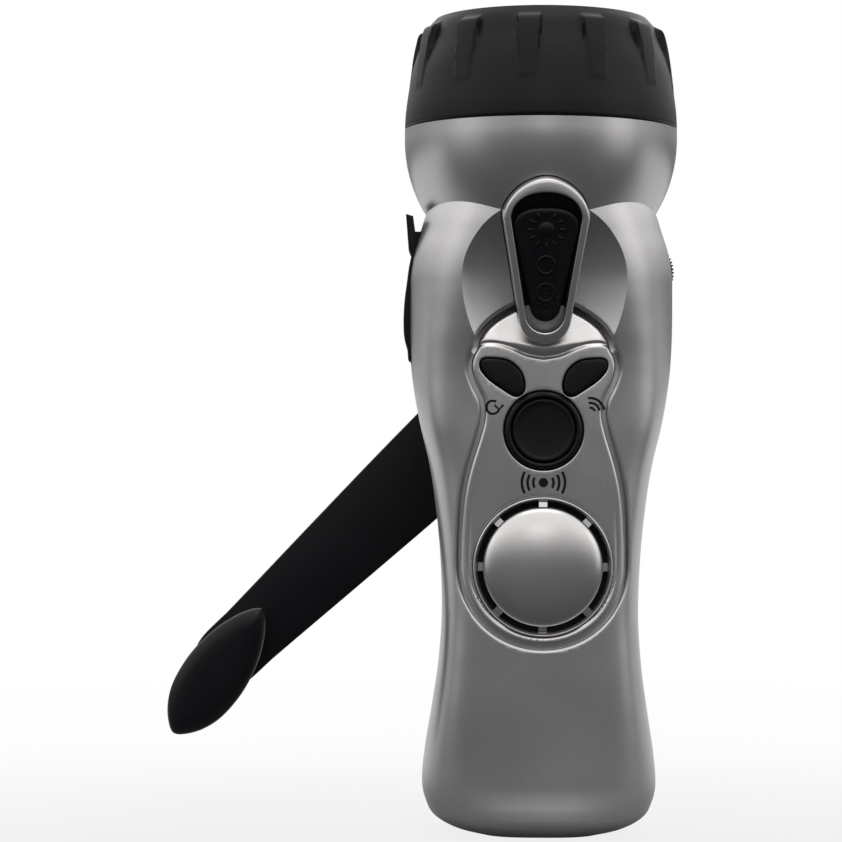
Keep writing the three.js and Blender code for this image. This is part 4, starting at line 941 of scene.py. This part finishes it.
def cover_outline(extra=0.0):
    """Profile of the socket cover in x and z: outer edge, pull tab, inner edge and hinged foot."""
    bottom, height, thick, bend = 110.4, 33.6, 1.2, 0.9

    def at(up, out):
        return -(half_width(bottom + up * height) + out), bottom + up * height

    bulge = [(0.06, 0.5), (0.14, 1.0), (0.25, 1.1), (0.39, 0.9), (0.52, 0.45), (0.63, 0.3), (0.71, 0.25)]
    outer = smooth_open([at(up, out * thick) for up, out in bulge], 5)
    foot_x, foot = at(0.76, 0)
    tab = [(foot_x - 1.35, foot), (foot_x - 2.0, 144), (foot_x - 0.3, 143.6), (foot_x + 0.2, bottom + 0.88 * height)]
    inner = [at(up, -thick) for up in (0.88, 0.7, 0.5, 0.3, 0.15)]
    hinge = at(0, bend - thick)[0]
    turn = [
        (hinge + bend * math.cos(angle), bottom + bend * math.sin(angle))
        for angle in (2 * math.pi - share * math.pi for share in (0.1, 0.3, 0.5, 0.7, 0.9))
    ]
    outline = [*outer, *tab, *inner, *turn]
    return offset(outline, extra) if extra else outline


front, rear = shell_halves()
front_ribs = [rod_y("boss", BOSS, x, z, -40, PARTING - GAP) for x, z in SCREWS]
front_ribs += [rod_y("post", 2.2, x, z, -40, -7.9) for x, z in POSTS]
front_ribs += [block("shelf", (-7.8, -40, z), (7.8, PARTING - GAP, z + 1.4)) for z in (18.3, 40.1)]
cuff = [(15.9, -21), (17.3, -21), (17.3, -11.2), (15.9, -11.2)]
front_ribs.append(lathe_y("cuff", cuff, 64, True, (0, SIREN_Z)))
combine(front, "UNION", ribs_in(front_ribs), panel_band())
wheel_slot = rounded([(0, -0.9), (8.0, -0.9), (8.0, 2.7), (0, 2.7)], 0.1)
combine(
    front, "DIFFERENCE", panel_bed(), bezel_cutter(0.25),
    prism("alarm_hole", ring_outline(9.1, 0, ALARM_Z), -7.6, FORE),
    *[prism("key_hole", offset(button_outline(side), 0.3), -7.6, FORE) for side in (1, -1)],
    prism("siren_hole", ring_outline(16.1, 0, SIREN_Z), -16.9, FORE),
    lathe_y("wheel_slot", wheel_slot, 64, centre=(WHEEL_X, WHEEL_Z)),
    prism("cover_bed", cover_outline(0.35), 2.2, -7.4),
    *[rod_x("socket_hole", 1.75, SOCKET_Y, z, FORE, -20) for z in SOCKETS],
    *[rod_y("hole", SCREW_HOLE, x, z, -3.3, AFT) for x, z in SCREWS],
)
piece(front, "housing", "silver_paint", ["front_shell"], angle=20)

rear_ribs = [rod_y("boss", BOSS, x, z, PARTING + GAP, 40) for x, z in SCREWS]
rear_ribs += [rod_y("boss", BOSS, x, z, 6.6, 40) for x, z in PLATE_SCREWS]
rear_ribs.append(rod_y("boss", BOSS, 0, IDLER_Z, 16.1, 40))
rear_ribs.append(rod_y("boss", 8.0, 0, CRANK_Z, 16.4, 40, 48))
combine(rear, "UNION", ribs_in(rear_ribs))
combine(
    rear, "DIFFERENCE",
    *[rod_y("well", 2.7, x, z, 9, AFT, 48) for x, z in SCREWS],
    *[rod_y("hole", SCREW_HOLE, x, z, 0, 10) for x, z in SCREWS],
    *[rod_y("hole", SCREW_HOLE, x, z, 4.5, 16.5) for x, z in PLATE_SCREWS],
    rod_y("hole", 1.8, 0, IDLER_Z, 4.5, 19.8),
    rod_y("hole", 5.8, 0, CRANK_Z, 4.5, AFT, 48),
)
piece(rear, "housing", "silver_paint", ["rear_shell"], angle=20)

# Control panel

COVE_FALL = 0.8
LEAN = 0.46


def panel_relief(x, z, points, holes):
    """How far the panel's face lies behind its plain surface."""
    above = z - np.array([curve_at(CREASE, abs(px)) for px in x])
    cove = 0.9 + 2.2 * (1 - soft_step(np.abs(x), 2, 10))
    up = np.maximum(above - 0.3, 0)
    inside = np.minimum(up, cove)
    step = 0.5 * soft_step(above, -0.7, 0.25) - COVE_FALL * inside + (COVE_FALL + LEAN) * inside ** 2 / (2 * cove)
    step += LEAN * (up - inside)
    edge = distance_to(points, PANEL)
    relief = step + edge_drop(edge, 0.85)
    low = 1 - soft_step(z, 64, 82)
    relief += 0.16 * low * np.exp(-((edge - 1.75) / 0.22) ** 2)
    for loop in holes:
        relief += edge_drop(distance_to(points, loop), 0.4)
    return relief


def control_panel():
    """Plate over the face with holes for the buttons and the siren."""
    holes = [
        ring_outline(9.05, 0, ALARM_Z, 120), offset(button_outline(1), 0.28), offset(button_outline(-1), 0.28),
        ring_outline(16.0, 0, SIREN_Z, 160),
    ]
    guides = [offset(PANEL, -inset) for inset in (0.08, 0.22, 0.42, 0.65, 0.9, 1.4, 1.6, 1.75, 1.9, 2.15)]
    for loop in holes:
        guides += [offset(loop, out) for out in (0.06, 0.16, 0.28, 0.42)]
    points, tris = guided(PANEL, holes, guides, 0.8)
    x, z = points[:, 0], points[:, 1]
    plain = handle_front(x, z, PROUD, level=True)
    face = plain + panel_relief(x, z, points, holes)
    return slab("panel", x, z, face, plain + PANEL_THICK + lean_back(z), tris)


panel = control_panel()
combine(panel, "DIFFERENCE", bezel_cutter(0.12))
piece(panel, "housing", "silver_trim", ["control_panel"], angle=40)

# Switch


def blended(outline_a, outline_b, share):
    return [
        (a[0] * (1 - share) + b[0] * share, a[1] * (1 - share) + b[1] * share) for a, b in zip(outline_a, outline_b)
    ]


def switch_bezel():
    """Teardrop frame, from its outer edge over a crest down into the pit."""
    crest = [
        (0, 13), (0, 2.4), (0.012, 1.95), (0.03, 1.5), (0.055, 1.1), (0.09, 0.76), (0.135, 0.52), (0.2, 0.37),
        (0.35, 0.25), (0.6, 0.11), (0.78, 0.02), (0.86, 0), (0.92, 0.06), (0.96, 0.2), (0.985, 0.45), (1, 0.85),
        (1.015, 1.4), (1.02, 5.6),
    ]
    return on_switch(loft("bezel", [[(x, y, z) for x, z in blended(BEZEL, PIT, share)] for share, y in crest]))


def pit_shade_cup():
    """Black cup in the switch's pit, round the rocker's stem: painted shade that darkens the pit above and beside the
    rocker.
    """
    cup = prism("pit_shade_cup", offset(PIT, -0.12), 2.1, 5.58)
    return on_switch(combine(
        cup, "DIFFERENCE", prism("inside", offset(PIT, -0.3), -1, 4.7),
        block("slot", (-1.9, 0, -14.3), (1.9, 7, -7.1)), block("end", (-9, 0, -30), (9, 9, -20.2))))


piece(switch_bezel(), "housing", "silver_trim", ["switch_bezel"], angle=50)
# Painted shade: a black cup darkens the switch's pit
piece(pit_shade_cup(), "housing", "black_plastic")


def rocker_key():
    """Key of the light switch with its stem."""
    steps = [
        (0, 2.7), (0, 1.5), (0.05, 1.15), (0.16, 0.86), (0.34, 0.62), (0.6, 0.46), (1.0, 0.38), (1.6, 0.42),
        (2.3, 0.5), (3.0, 0.56),
    ]
    body = terrace("rocker_key", ROCKER, steps)
    stem = block("stem", (-1.5, 1.5, -13.2), (1.5, 7.3, -8.2))
    return combine(body, "UNION", stem)


def pill(a, b, radius, y):
    """Half-sunk rounded bar from a to b, in the plane of a face at depth y."""
    start, end = Vector((a[0], y, a[1])), Vector((b[0], y, b[1]))
    along = (end - start).normalized()
    side = along.cross(Vector((0, 1, 0)))
    rings = []
    length = (end - start).length
    for share, size in ((-0.5, 0.05), (-0.35, 0.7), (0, 1), (1, 1), (1.35, 0.7), (1.5, 0.05)):
        middle = start + along * (length * min(max(share, 0), 1) + radius * (min(share, 0) + max(share - 1, 0)))
        rings.append([
            tuple(middle + side * (radius * size * math.cos(t)) + Vector((0, radius * 0.8 * size * math.sin(t), 0)))
            for t in (2 * math.pi * k / 12 for k in range(12))
        ])
    return loft("pill", rings)


def torus(radius, thick, z, y):
    """Half-sunk ring in the plane of a face at depth y."""
    turns = (2 * math.pi * k / 12 for k in range(12))
    ring = [(radius + thick * math.cos(t), y + 0.8 * thick * math.sin(t)) for t in turns]
    return lathe_y("ring", ring, 48, True, (0, z))


def rocker_marks():
    """Raised marks on the rocker: a lit lamp, an open ring and a dimmed lamp."""
    face = 0.42
    sun, middle, moon = -2.4, -10.4, -16.6
    dot = [(0, 0), (0.7, face - 0.38), (1.3, face - 0.2), (1.75, face + 0.1), (1.75, 1), (0, 1)]
    parts = [lathe_y("dot", dot, 40, centre=(0, sun))]

    def ray(z, turn, start, end, radius):
        c, s = math.cos(math.radians(turn)), math.sin(math.radians(turn))
        parts.append(pill((start * c, z + start * s), (end * c, z + end * s), radius, face))

    for turn in range(0, 360, 30):
        ray(sun, turn, 3.1, 4.15, 0.34)
    parts.append(torus(1.95, 0.33, middle, face))
    parts.append(torus(1.95, 0.3, moon, face))
    for turn in (90, 210, 330):
        ray(moon, turn, 0, 0.9, 0.16)
    for turn in (205, 242, 270, 298, 335):
        ray(moon, turn, 2.7, 3.35, 0.2)
    return parts


def merged(name, parts):
    """One object from several closed meshes, left as they are."""
    verts, faces = [], []
    for part in parts:
        base = len(verts)
        verts.extend(tuple(v.co / MM) for v in part.data.vertices)
        faces.extend(tuple(base + k for k in face.vertices) for face in part.data.polygons)
        bpy.data.objects.remove(part)
    return new_object(name, verts, faces)


piece(on_switch(rocker_key()), "rocker", "black_plastic", ["rocker"], angle=40)
piece(on_switch(merged("rocker_marks", rocker_marks())), "rocker", "black_plastic", angle=50)

# Siren, alarm and side buttons


def siren_grille():
    """Dome held in its rim by eight bridges."""
    edge, rise, hollow, thick, rim_back = -21.0, 3.3, 2.2, 1.2, -20.1
    arc = [(DOME * math.sin(t), edge - rise * math.cos(t)) for t in np.linspace(0, math.pi / 2, 32)]
    back = [(DOME, edge + 0.5), (DOME - 0.35, rim_back), (DOME - thick, rim_back)]
    inner = [((DOME - thick) * math.sin(t), rim_back - hollow * math.cos(t)) for t in np.linspace(math.pi / 2, 0, 14)]
    dome = lathe_y("dome", [*arc, *back, *inner], 128, centre=(0, SIREN_Z))
    rim_loop = [(14.9, -20.75), (15.6, -21.85), (15.9, -21.6), (15.9, -17.2), (14.9, -17.2)]
    rim = lathe_y("rim", rounded(rim_loop, 0.22, closed=True), 128, True, (0, SIREN_Z))
    side = [(12.6, -20.9), (14.75, -20.5), (15.2, -17.4), (12.6, -20.2)]
    bars = []
    for turn in range(0, 360, 45):
        bar = loft("bar", [[(x, y, z) for x, y in side] for z in (-0.95, 0.95)])
        bars.append(shifted(moved(bar, Matrix.Rotation(math.radians(turn), 4, "Y")), 0, 0, SIREN_Z))
    return combine(dome, "UNION", rim, *bars)


piece(siren_grille(), "housing", "silver_trim", ["siren_grille"], angle=40)

gauze = [(12.6, -17.13), (15.6, -17.13), (15.6, -16.97), (12.6, -16.97)]
piece(lathe_y("dust_gauze", gauze, 96, True, (0, SIREN_Z)), "housing", "black_plastic")
ring_loop = [(7.5, -22.4), (8.15, -22.65), (8.8, -21.75), (8.8, -19.0), (7.5, -19.0)]
alarm_ring = lathe_y("alarm_ring", rounded(ring_loop, 0.28, closed=True), 128, True, (0, ALARM_Z))
piece(alarm_ring, "housing", "black_plastic", ["alarm_collar"])
alarm_profile = [
    (0, -21.85), (3.0, -21.9), (5.0, -22.02), (6.0, -22.14), (6.35, -22.3), (6.7, -22.38), (7.0, -22.3),
    (7.18, -22.0), (7.2, -21.5), (7.2, BUTTON_BACK), (2.0, BUTTON_BACK), (2.0, PLUNGER_BACK), (0, PLUNGER_BACK),
]
alarm_key = lathe_y("alarm_key", rounded(alarm_profile, 0.25), 128, centre=(0, ALARM_Z))
piece(alarm_key, "alarm_key", "black_rubber", ["alarm_button"])


def side_button(name, side):
    """Soft key with a flat top and rounded edges."""
    outline = button_outline(side)
    guides = [offset(outline, -inset) for inset in (0.05, 0.14, 0.26, 0.4, 0.55)]
    points, tris = guided(outline, [], guides, 0.6)
    x, z = points[:, 0], points[:, 1]
    top = BUTTON_TOP + edge_drop(distance_to(points, outline), 0.55)
    body = slab(name, x, z, top, np.full(len(points), BUTTON_BACK), tris)
    return combine(body, "UNION", rod_y("plunger", 2.0, side * BUTTON_X, BUTTON_Z, -17, PLUNGER_BACK))


for name, side in (("reset", -1), ("scan", 1)):
    piece(side_button(f"{name}_key_top", side), f"{name}_key", "black_rubber", [f"{name}_button"], angle=40)


def ribbon(path, width, closed=False):
    """Thin printed line on the panel along a path of (x, z)."""
    lift, sunk = 0.03, 0.1
    line = np.array(path)
    if closed:
        ahead, behind = np.roll(line, -1, axis=0), np.roll(line, 1, axis=0)
    else:
        ahead = np.vstack([line[1:], 2 * line[-1:] - line[-2:-1]])
        behind = np.vstack([2 * line[:1] - line[1:2], line[:-1]])
    along = ahead - behind
    along /= np.linalg.norm(along, axis=1)[:, None]
    side = np.stack([along[:, 1], -along[:, 0]], axis=1) * width / 2
    rings = []
    for p, s in zip(line, side):
        corners = np.array([p + s, p - s])
        y = handle_front(corners[:, 0], corners[:, 1], PROUD)
        rings.append([
            (corners[k, 0], y[k] + deep, corners[k, 1])
            for k, deep in ((0, -lift), (1, -lift), (1, sunk), (0, sunk))])
    return loft("mark", rings, wrap=closed)


def arc_path(x, z, radius, start, end):
    turns = (math.radians(a) for a in np.linspace(start, end, 24))
    return [(x + radius * math.cos(t), z + radius * math.sin(t)) for t in turns]


def printed_marks():
    """Plain marks by the buttons: a turning arrow, waves and a sounding ring."""
    back = [
        ribbon(arc_path(-11.6, 99.0, 1.5, 60, 340), 0.5),
        ribbon([(-11.2, 99.5), (-10.1, 98.5), (-9.2, 99.6)], 0.45),
    ]
    waves = [ribbon(arc_path(10.6, 98.0, radius, 10, 100), 0.5) for radius in (1.0, 2.1, 3.2)]
    low = ALARM_Z - 11.9
    horn = [ribbon(arc_path(0, low, 0.55, 0, 360)[:-1], 1.05, closed=True)]
    for radius in (2.3, 3.6, 4.9):
        horn += [ribbon(arc_path(0, low, radius, middle - 30, middle + 30), 0.6) for middle in (0, 180)]
    return merged("printed_marks", [*back, *waves, *horn])


piece(printed_marks(), "housing", "black_plastic", angle=60)

# Head


def head_reach(share):
    return HEAD_RADIUS * curve_at(
        [(0, 1), (0.14, 0.994), (0.37, 0.969), (0.57, 0.9375), (0.76, 0.885), (0.93, 0.828), (1, 0.78)], share)


def rib_reach(share):
    return HEAD_RADIUS * curve_at(
        [(0.2, 0.99), (0.33, 0.978), (0.8, 0.921), (0.88, 0.9), (0.93, 0.872), (0.97, 0.8)], share)


def head_bezel():
    """Black rim of the head, with a rib every 30 degrees that widens upwards."""
    height = TOP - BEZEL_BASE
    rib_height, rib_low, rib_turn, wall = 15, TOP - 2.6 - 15, 8, 0.0065
    rib_width, rib_gain, mean_radius = 3.8, 2.1, 30.5
    angles = np.radians(np.arange(0, 360, 0.75))
    rings = []
    for share in [0, 0.006, 0.015, *np.linspace(0.04, 0.28, 9), *np.linspace(0.3, 0.97, 44), 0.985, 0.995, 1.0]:
        z = BEZEL_BASE + share * height
        plain = head_reach(share) - (0.25 if share == 0 else 0.06 if share < 0.01 else 0)
        out = rib_reach(share) - head_reach(share)
        up = (z - rib_low) / rib_height
        half = (rib_width + rib_gain * min(max(up, 0), 1)) / mean_radius / 2
        gap = np.radians((np.degrees(angles) + 90 + rib_turn + 15) % 30 - 15)
        in_width = soft_step(half - np.abs(gap), -wall, wall)
        in_height = soft_step(up, -0.02, 0.12) * (1 - soft_step(up, 0.97, 1.06))
        reach = plain + max(out, 0) * in_width * in_height
        rings.append(polar(reach, angles, z))
    inner = [
        (24.4, TOP), (23.6, TOP - 0.05), (23.1, TOP - 0.4), (23, TOP - 0.9), (23, 185.5), (23.2, 185.2),
        (26.03, 185.2), (26.03, 180.2), (27.5, 180.2), (27.5, 170.0), (29.3, 170.0), (29.3, BEZEL_BASE),
        (31.2, BEZEL_BASE),
    ]
    rings += [polar(np.full_like(angles, r), angles, z) for r, z in inner]
    return loft("head", rings, wrap=True)


piece(head_bezel(), "housing", "black_plastic", ["head_bezel"], angle=38)
lens_loop = rounded([(0, 182.9), (25.73, 182.9), (25.73, 184.9), (0, 184.9)], 0.3)
piece(lathe_z("front_lens", lens_loop, 128), "housing", "clear_plastic", ["lens"])
seal_loop = rounded([(23.6, 181.4), (25.7, 181.4), (25.7, 182.6), (23.6, 182.6)], 0.3, closed=True)
piece(lathe_z("seal", seal_loop, 128, True), "housing", "black_rubber", ["lens_gasket"])


def bowl():
    """Reflector: a parabola of one thickness, with a flange at its rim."""
    rim, throat, base, depth, thick = 23.5, 6.2, 156.9, 23.0, 1.2
    focal = (rim ** 2 - throat ** 2) / depth
    shares = np.linspace(0, 1, 24)
    inside = [(math.sqrt(throat ** 2 + focal * share * depth), base + share * depth) for share in shares]
    outside = [(r + thick, z) for r, z in inside[::-1]]
    loop = [*inside, (rim, 181.1), (25.7, 181.1), (25.7, 179.9), (rim + thick, 179.9), *outside[1:]]
    return lathe_z("bowl", loop, 128, True)


piece(bowl(), "housing", "chrome", ["reflector"], angle=50)
LAMP = 2.5
for k in (1, 2, 3):
    low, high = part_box(f"led_{k}")
    centre = ((low[0] + high[0]) / 2 / MM, (low[1] + high[1]) / 2 / MM)
    base = low[2] / MM
    dome = [(LAMP * math.cos(t), base + 3.5 + LAMP * math.sin(t)) for t in np.linspace(0, math.pi / 2, 10)]
    bulb = lathe_z(f"lamp_{k}", [(0, base), (LAMP, base), *dome], 40, centre=centre)
    piece(bulb, "housing", "clear_plastic", [f"led_{k}"], angle=50)

# Side controls


def socket_cover():
    """Rubber flap with a peg for each socket."""
    steps = [(0.5, 1.9), (0.18, 1.82), (0.0, 1.5), (0.0, -6.7), (0.18, -7.02), (0.5, -7.1)]
    flap = terrace("flap", cover_outline(), steps)
    pegs = [rod_x("peg", 1.35, SOCKET_Y, z, -(half_width(z) - 0.6), -(half_width(z) - 2.8)) for z in SOCKETS]
    return combine(flap, "UNION", *pegs)


piece(socket_cover(), "cover", "black_rubber", ["socket_cover"], angle=40)


def volume_wheel():
    """Thumb wheel with teeth round its edge."""
    teeth = 56
    outline = []
    for k in range(teeth):
        for along, radius in ((-0.32, 7.15), (-0.14, 7.55), (0.14, 7.55), (0.32, 7.15)):
            angle = 2 * math.pi * (k + along) / teeth
            outline.append((WHEEL_X + radius * math.cos(angle), WHEEL_Z + radius * math.sin(angle)))
    body = terrace("wheel", outline, [(0.3, 2.4), (0.0, 2.1), (0.0, -0.3), (0.3, -0.6)])
    return combine(body, "DIFFERENCE", rod_y("hole", 1.25, WHEEL_X, WHEEL_Z, -3, 6))


piece(volume_wheel(), "volume", "black_plastic", ["volume_wheel"])

# Crank


def hinge_hole():
    return rod_x("hole", HINGE_RADIUS, CRANK_PLANE, 0, -14, 14)


def knob_hole(low, high):
    return rod_y("hole", KNOB_BORE, 0, -KNOB_REACH, low, high)


def crank_hub():
    """Disk on the crank's shaft, with two lugs that carry the hinge of the arm."""
    top, knuckle = 32.6, 2.55
    disk = lathe_y("hub", rounded([(0, 27.1), (12.5, 27.1), (12.5, top), (0, top)], 1.0, 5), 96)
    lugs = []
    for side in (-1, 1):
        a, b = sorted((side * 5.9, side * 10.5))
        lug = block("lug", (a, top - 1, -knuckle), (b, CRANK_PLANE, knuckle))
        combine(lug, "UNION", rod_x("knuckle", knuckle, CRANK_PLANE, 0, a, b, 48))
        lugs.append(lug)
    combine(disk, "UNION", *lugs)
    return combine(
        disk, "DIFFERENCE", hinge_hole(), rod_y("hole", 3.3, 0, 0, 26, 29.5, 48), rod_y("hole", 1.6, 0, 0, 27, 34),
        rod_y("seat", 3.7, 0, 0, 30.51, 36, 48))


def screw_head(name, radius, seat, top, x=0.0, z=0.0):
    """Domed head with a cross cut in it, towards +Y."""
    profile = [(0, seat), (radius, seat), (radius, top - 0.35), (radius * 0.85, top - 0.1), (0, top)]
    head = lathe_y(name, profile, 48, centre=(x, z))
    long, wide = radius * 0.55, radius * 0.13
    for turn in (0, 90):
        bar = block("slot", (-long, top - 0.8, -wide), (long, top + 0.5, wide))
        moved(bar, Matrix.Rotation(math.radians(turn), 4, "Y"))
        combine(head, "DIFFERENCE", shifted(bar, x, 0, z))
    return head


ARM_SIDE = [(0.04, 1), (0.355, 0.72), (0.6, 0.42), (0.82, 0.12), (0.9, 0.02)]
ARM_EDGE = [
    (0.8, ARM_BACK), (0.5, 37.93), (0.24, 37.76), (0.07, 37.5), (0, 37.2), (0, 33.9), (0.05, 33.7), (0.18, 33.55),
    (0.4, ARM_FACE),
]


def crank_arm():
    """Arm that narrows from its hinge to a rounded square end, hanging straight down."""
    narrow, spread, length = 8, 4.3, 108.7
    side = smooth_open([(narrow + wide * spread, -down * length) for down, wide in ARM_SIDE], 10)
    tip = [
        (8.1 * bulged(math.cos(t), 0.6), -100.7 + 10.8 * bulged(math.sin(t), 0.6))
        for t in np.linspace(0, -math.pi, 49)
    ]
    blade = terrace("blade", [*side[:-1], *tip, *[(-x, z) for x, z in side[:-1]][::-1]], ARM_EDGE)
    neck = block("neck", (-5.6, ARM_FACE, -6.5), (5.6, ARM_BACK, -0.3))
    combine(blade, "UNION", neck, rod_x("barrel", 2.25, CRANK_PLANE, 0, -5.6, 5.6, 48))
    return combine(blade, "DIFFERENCE", hinge_hole(), knob_hole(32, 40))


# Half-width of the knob's leaf along its length, and how far it draws in from its face to its foot
LEAF = [
    (0, 0.06), (0.05, 0.3), (0.14, 0.56), (0.28, 0.82), (0.45, 0.98), (0.6, 1), (0.75, 0.9), (0.87, 0.66),
    (0.96, 0.32),
]
KNOB_STEPS = [
    (0.34, 0), (0.29, 0.12), (0.24, 0.25), (0.17, 0.4), (0.1, 0.55), (0.04, 0.7), (0.005, 0.8), (0, 0.84),
    (0.015, 0.875), (0.06, 0.91), (0.14, 0.945), (0.26, 0.975), (0.4, 0.99), (0.6, 1.0), (0.8, 1.003),
]


def crank_knob():
    """Leaf-shaped handle in front of the arm, a little further out than its pin and turned on it."""
    length, half, inner = 37.1, 7.9, KNOB_REACH - KNOB_SLIDE
    right = [(wide * half, inner - KNOB_INNER - along * length) for along, wide in LEAF]
    corners = [*right, (0, inner - KNOB_OUTER), *[(-x, z) for x, z in right[::-1]]]
    outline = resample(smooth_loop(corners, 10), 140)
    slim = 2 * half / length
    middle = inner - (KNOB_INNER + KNOB_OUTER) / 2
    rings = [
        [(x * (1 - inset), 33.2 - depth * 15.6, middle + (z - middle) * (1 - inset * slim)) for x, z in outline]
        for inset, depth in KNOB_STEPS
    ]
    body = moved(loft("knob", rings), Matrix.Rotation(math.radians(KNOB_TURN), 4, "Y"))
    return combine(shifted(body, 0, 0, -KNOB_REACH), "DIFFERENCE", knob_hole(21.5, 34))


piece(on_crank(crank_hub()), "crank", "black_plastic", ["crank_hub"])
hub_screw = screw_head("hub_screw_head", 3.4, 30.81, 32.3)
combine(hub_screw, "UNION", rod_y("shank", 1.3, 0, 0, 22.2, 31))
piece(on_crank(hub_screw), "crank", "steel", ["hub_screw"])
piece(on_crank(crank_arm()), "arm", "black_plastic", ["crank_arm"])
piece(on_crank(crank_knob()), "knob", "black_plastic", ["crank_knob"], angle=50)
axle = rounded([(0, 22.6), (2, 22.6), (2, 38.3), (3.6, 38.3), (3.6, 39.5), (0, 39.5)], 0.35)
piece(on_crank(lathe_y("knob_axle", axle, 48, centre=(0, -KNOB_REACH))), "arm", "steel", ["knob_pin"])

# Screws behind

PLACES = [f"{height}_{side}" for height in ("low", "middle", "high") for side in ("left", "right")]
for name, (x, z) in zip(PLACES, SCREWS):
    head = screw_head(f"screw_{name}", 2.4, 9.3, 10.9, x, z)
    combine(head, "UNION", rod_y("shank", 0.95, x, z, -2.4, 10))
    piece(head, "housing", "steel", [f"shell_screw_{name}"])

# Camera, floor and light


def camera():
    data = bpy.data.cameras.new("camera")
    data.sensor_width = 36
    data.lens = 18 / math.tan(math.radians(18.54 / 2))
    data.clip_start = 0.01
    data.clip_end = 50
    data.dof.use_dof = False
    eye = bpy.data.objects.new("camera", data)
    eye.location = (-0.0279, -0.608, 0.0958)
    eye.rotation_euler = (math.radians(90), math.radians(-0.25), 0)
    bpy.context.scene.collection.objects.link(eye)
    bpy.context.scene.camera = eye


def floor():
    """Floor that keeps the shadow near the object and fades to white further off. Its colour is painted nearly black
    in front of the object and pale behind it, as painted shade that the object's lower faces reflect.
    """
    mesh = bpy.data.meshes.new("floor")
    mesh.from_pydata([(-9, -9, 0), (9, -9, 0), (9, 9, 0), (-9, 9, 0)], [], [(0, 1, 2, 3)])
    plane = bpy.data.objects.new("floor", mesh)
    bpy.context.scene.collection.objects.link(plane)
    material, tree, shader = look("floor")
    where = add_node(tree, "TexCoord").outputs["Object"]
    split = add_node(tree, "SeparateXYZ", {"Vector": where})
    # Painted shade: the floor's colour is nearly black in front of the object and pale behind it, so the object's
    # lower faces reflect shade; behind the object the floor also glows faintly in reflections
    behind = ramp(tree, split.outputs["Y"], -0.05, 0.15, 0.0, 1.0)
    tree.links.new(tint(tree, behind, (0.05, 0.05, 0.05), (0.6, 0.6, 0.6)), shader.inputs["Base Color"])
    shader.inputs["Roughness"].default_value = 0.8
    length = add_node(tree, "VectorMath", {0: where}, operation="LENGTH")
    far = ramp(tree, length.outputs["Value"], 0.1, 0.4, 0.84, 1.0)
    path = add_node(tree, "LightPath").outputs
    mirrored = plus(tree, path["Is Glossy Ray"], path["Is Transmission Ray"])
    share = plus(tree, times(tree, path["Is Camera Ray"], far), times(tree, mirrored, times(tree, behind, 0.15)))
    glow = add_node(tree, "Emission", {"Color": (1, 1, 1, 1)})
    mix = add_node(tree, "MixShader", {"Fac": share, 1: shader.outputs["BSDF"], 2: glow.outputs["Emission"]})
    tree.links.new(mix.outputs["Shader"], tree.nodes["Material Output"].inputs["Surface"])
    mesh.materials.append(material)


def world():
    """White all round to the eye. Light and gloss find it darker ahead of the object and below its middle."""
    sky = bpy.data.worlds.new("studio")
    bpy.context.scene.world = sky
    sky.use_nodes = True
    tree = sky.node_tree
    back = tree.nodes["Background"]
    split = add_node(tree, "SeparateXYZ", {"Vector": add_node(tree, "TexCoord").outputs["Generated"]})
    facing = times(tree, split.outputs["Y"], -1.0)
    side = ramp(tree, facing, -0.5, 0.4, 0.03, 0.44)
    ahead = ramp(tree, facing, 0.5, 0.9, 0.0, 1.0)
    high = ramp(tree, split.outputs["Z"], 0.02, 0.4, 0.0, 1.0)
    level = blend(tree, high, blend(tree, ahead, side, 0.03), 1.35)
    seen = add_node(tree, "LightPath").outputs["Is Camera Ray"]
    tree.links.new(blend(tree, seen, level, 1.0), back.inputs["Strength"])
    back.inputs["Color"].default_value = (1, 1, 1, 1)


def lamp(name, place, target, size, power):
    data = bpy.data.lights.new(name, "AREA")
    data.shape = "RECTANGLE"
    data.size, data.size_y = size
    data.energy = power
    light = bpy.data.objects.new(name, data)
    light.location = place
    light.rotation_euler = (Vector(target) - Vector(place)).to_track_quat("-Z", "Y").to_euler()
    bpy.context.scene.collection.objects.link(light)


camera()
floor()
world()
middle = (0, 0, 0.1)
lamp("top", (0.0, -0.3, 0.9), middle, (0.6, 0.35), 0.8)
lamp("front", (0.0, -1.0, 0.38), middle, (0.26, 0.2), 0.14)
lamp("left", (-0.9, -0.4, 0.2), middle, (0.45, 0.9), 0.36)
lamp("right", (0.9, -0.4, 0.2), middle, (0.45, 0.9), 0.6)
bpy.context.scene.view_settings.view_transform = "Standard"
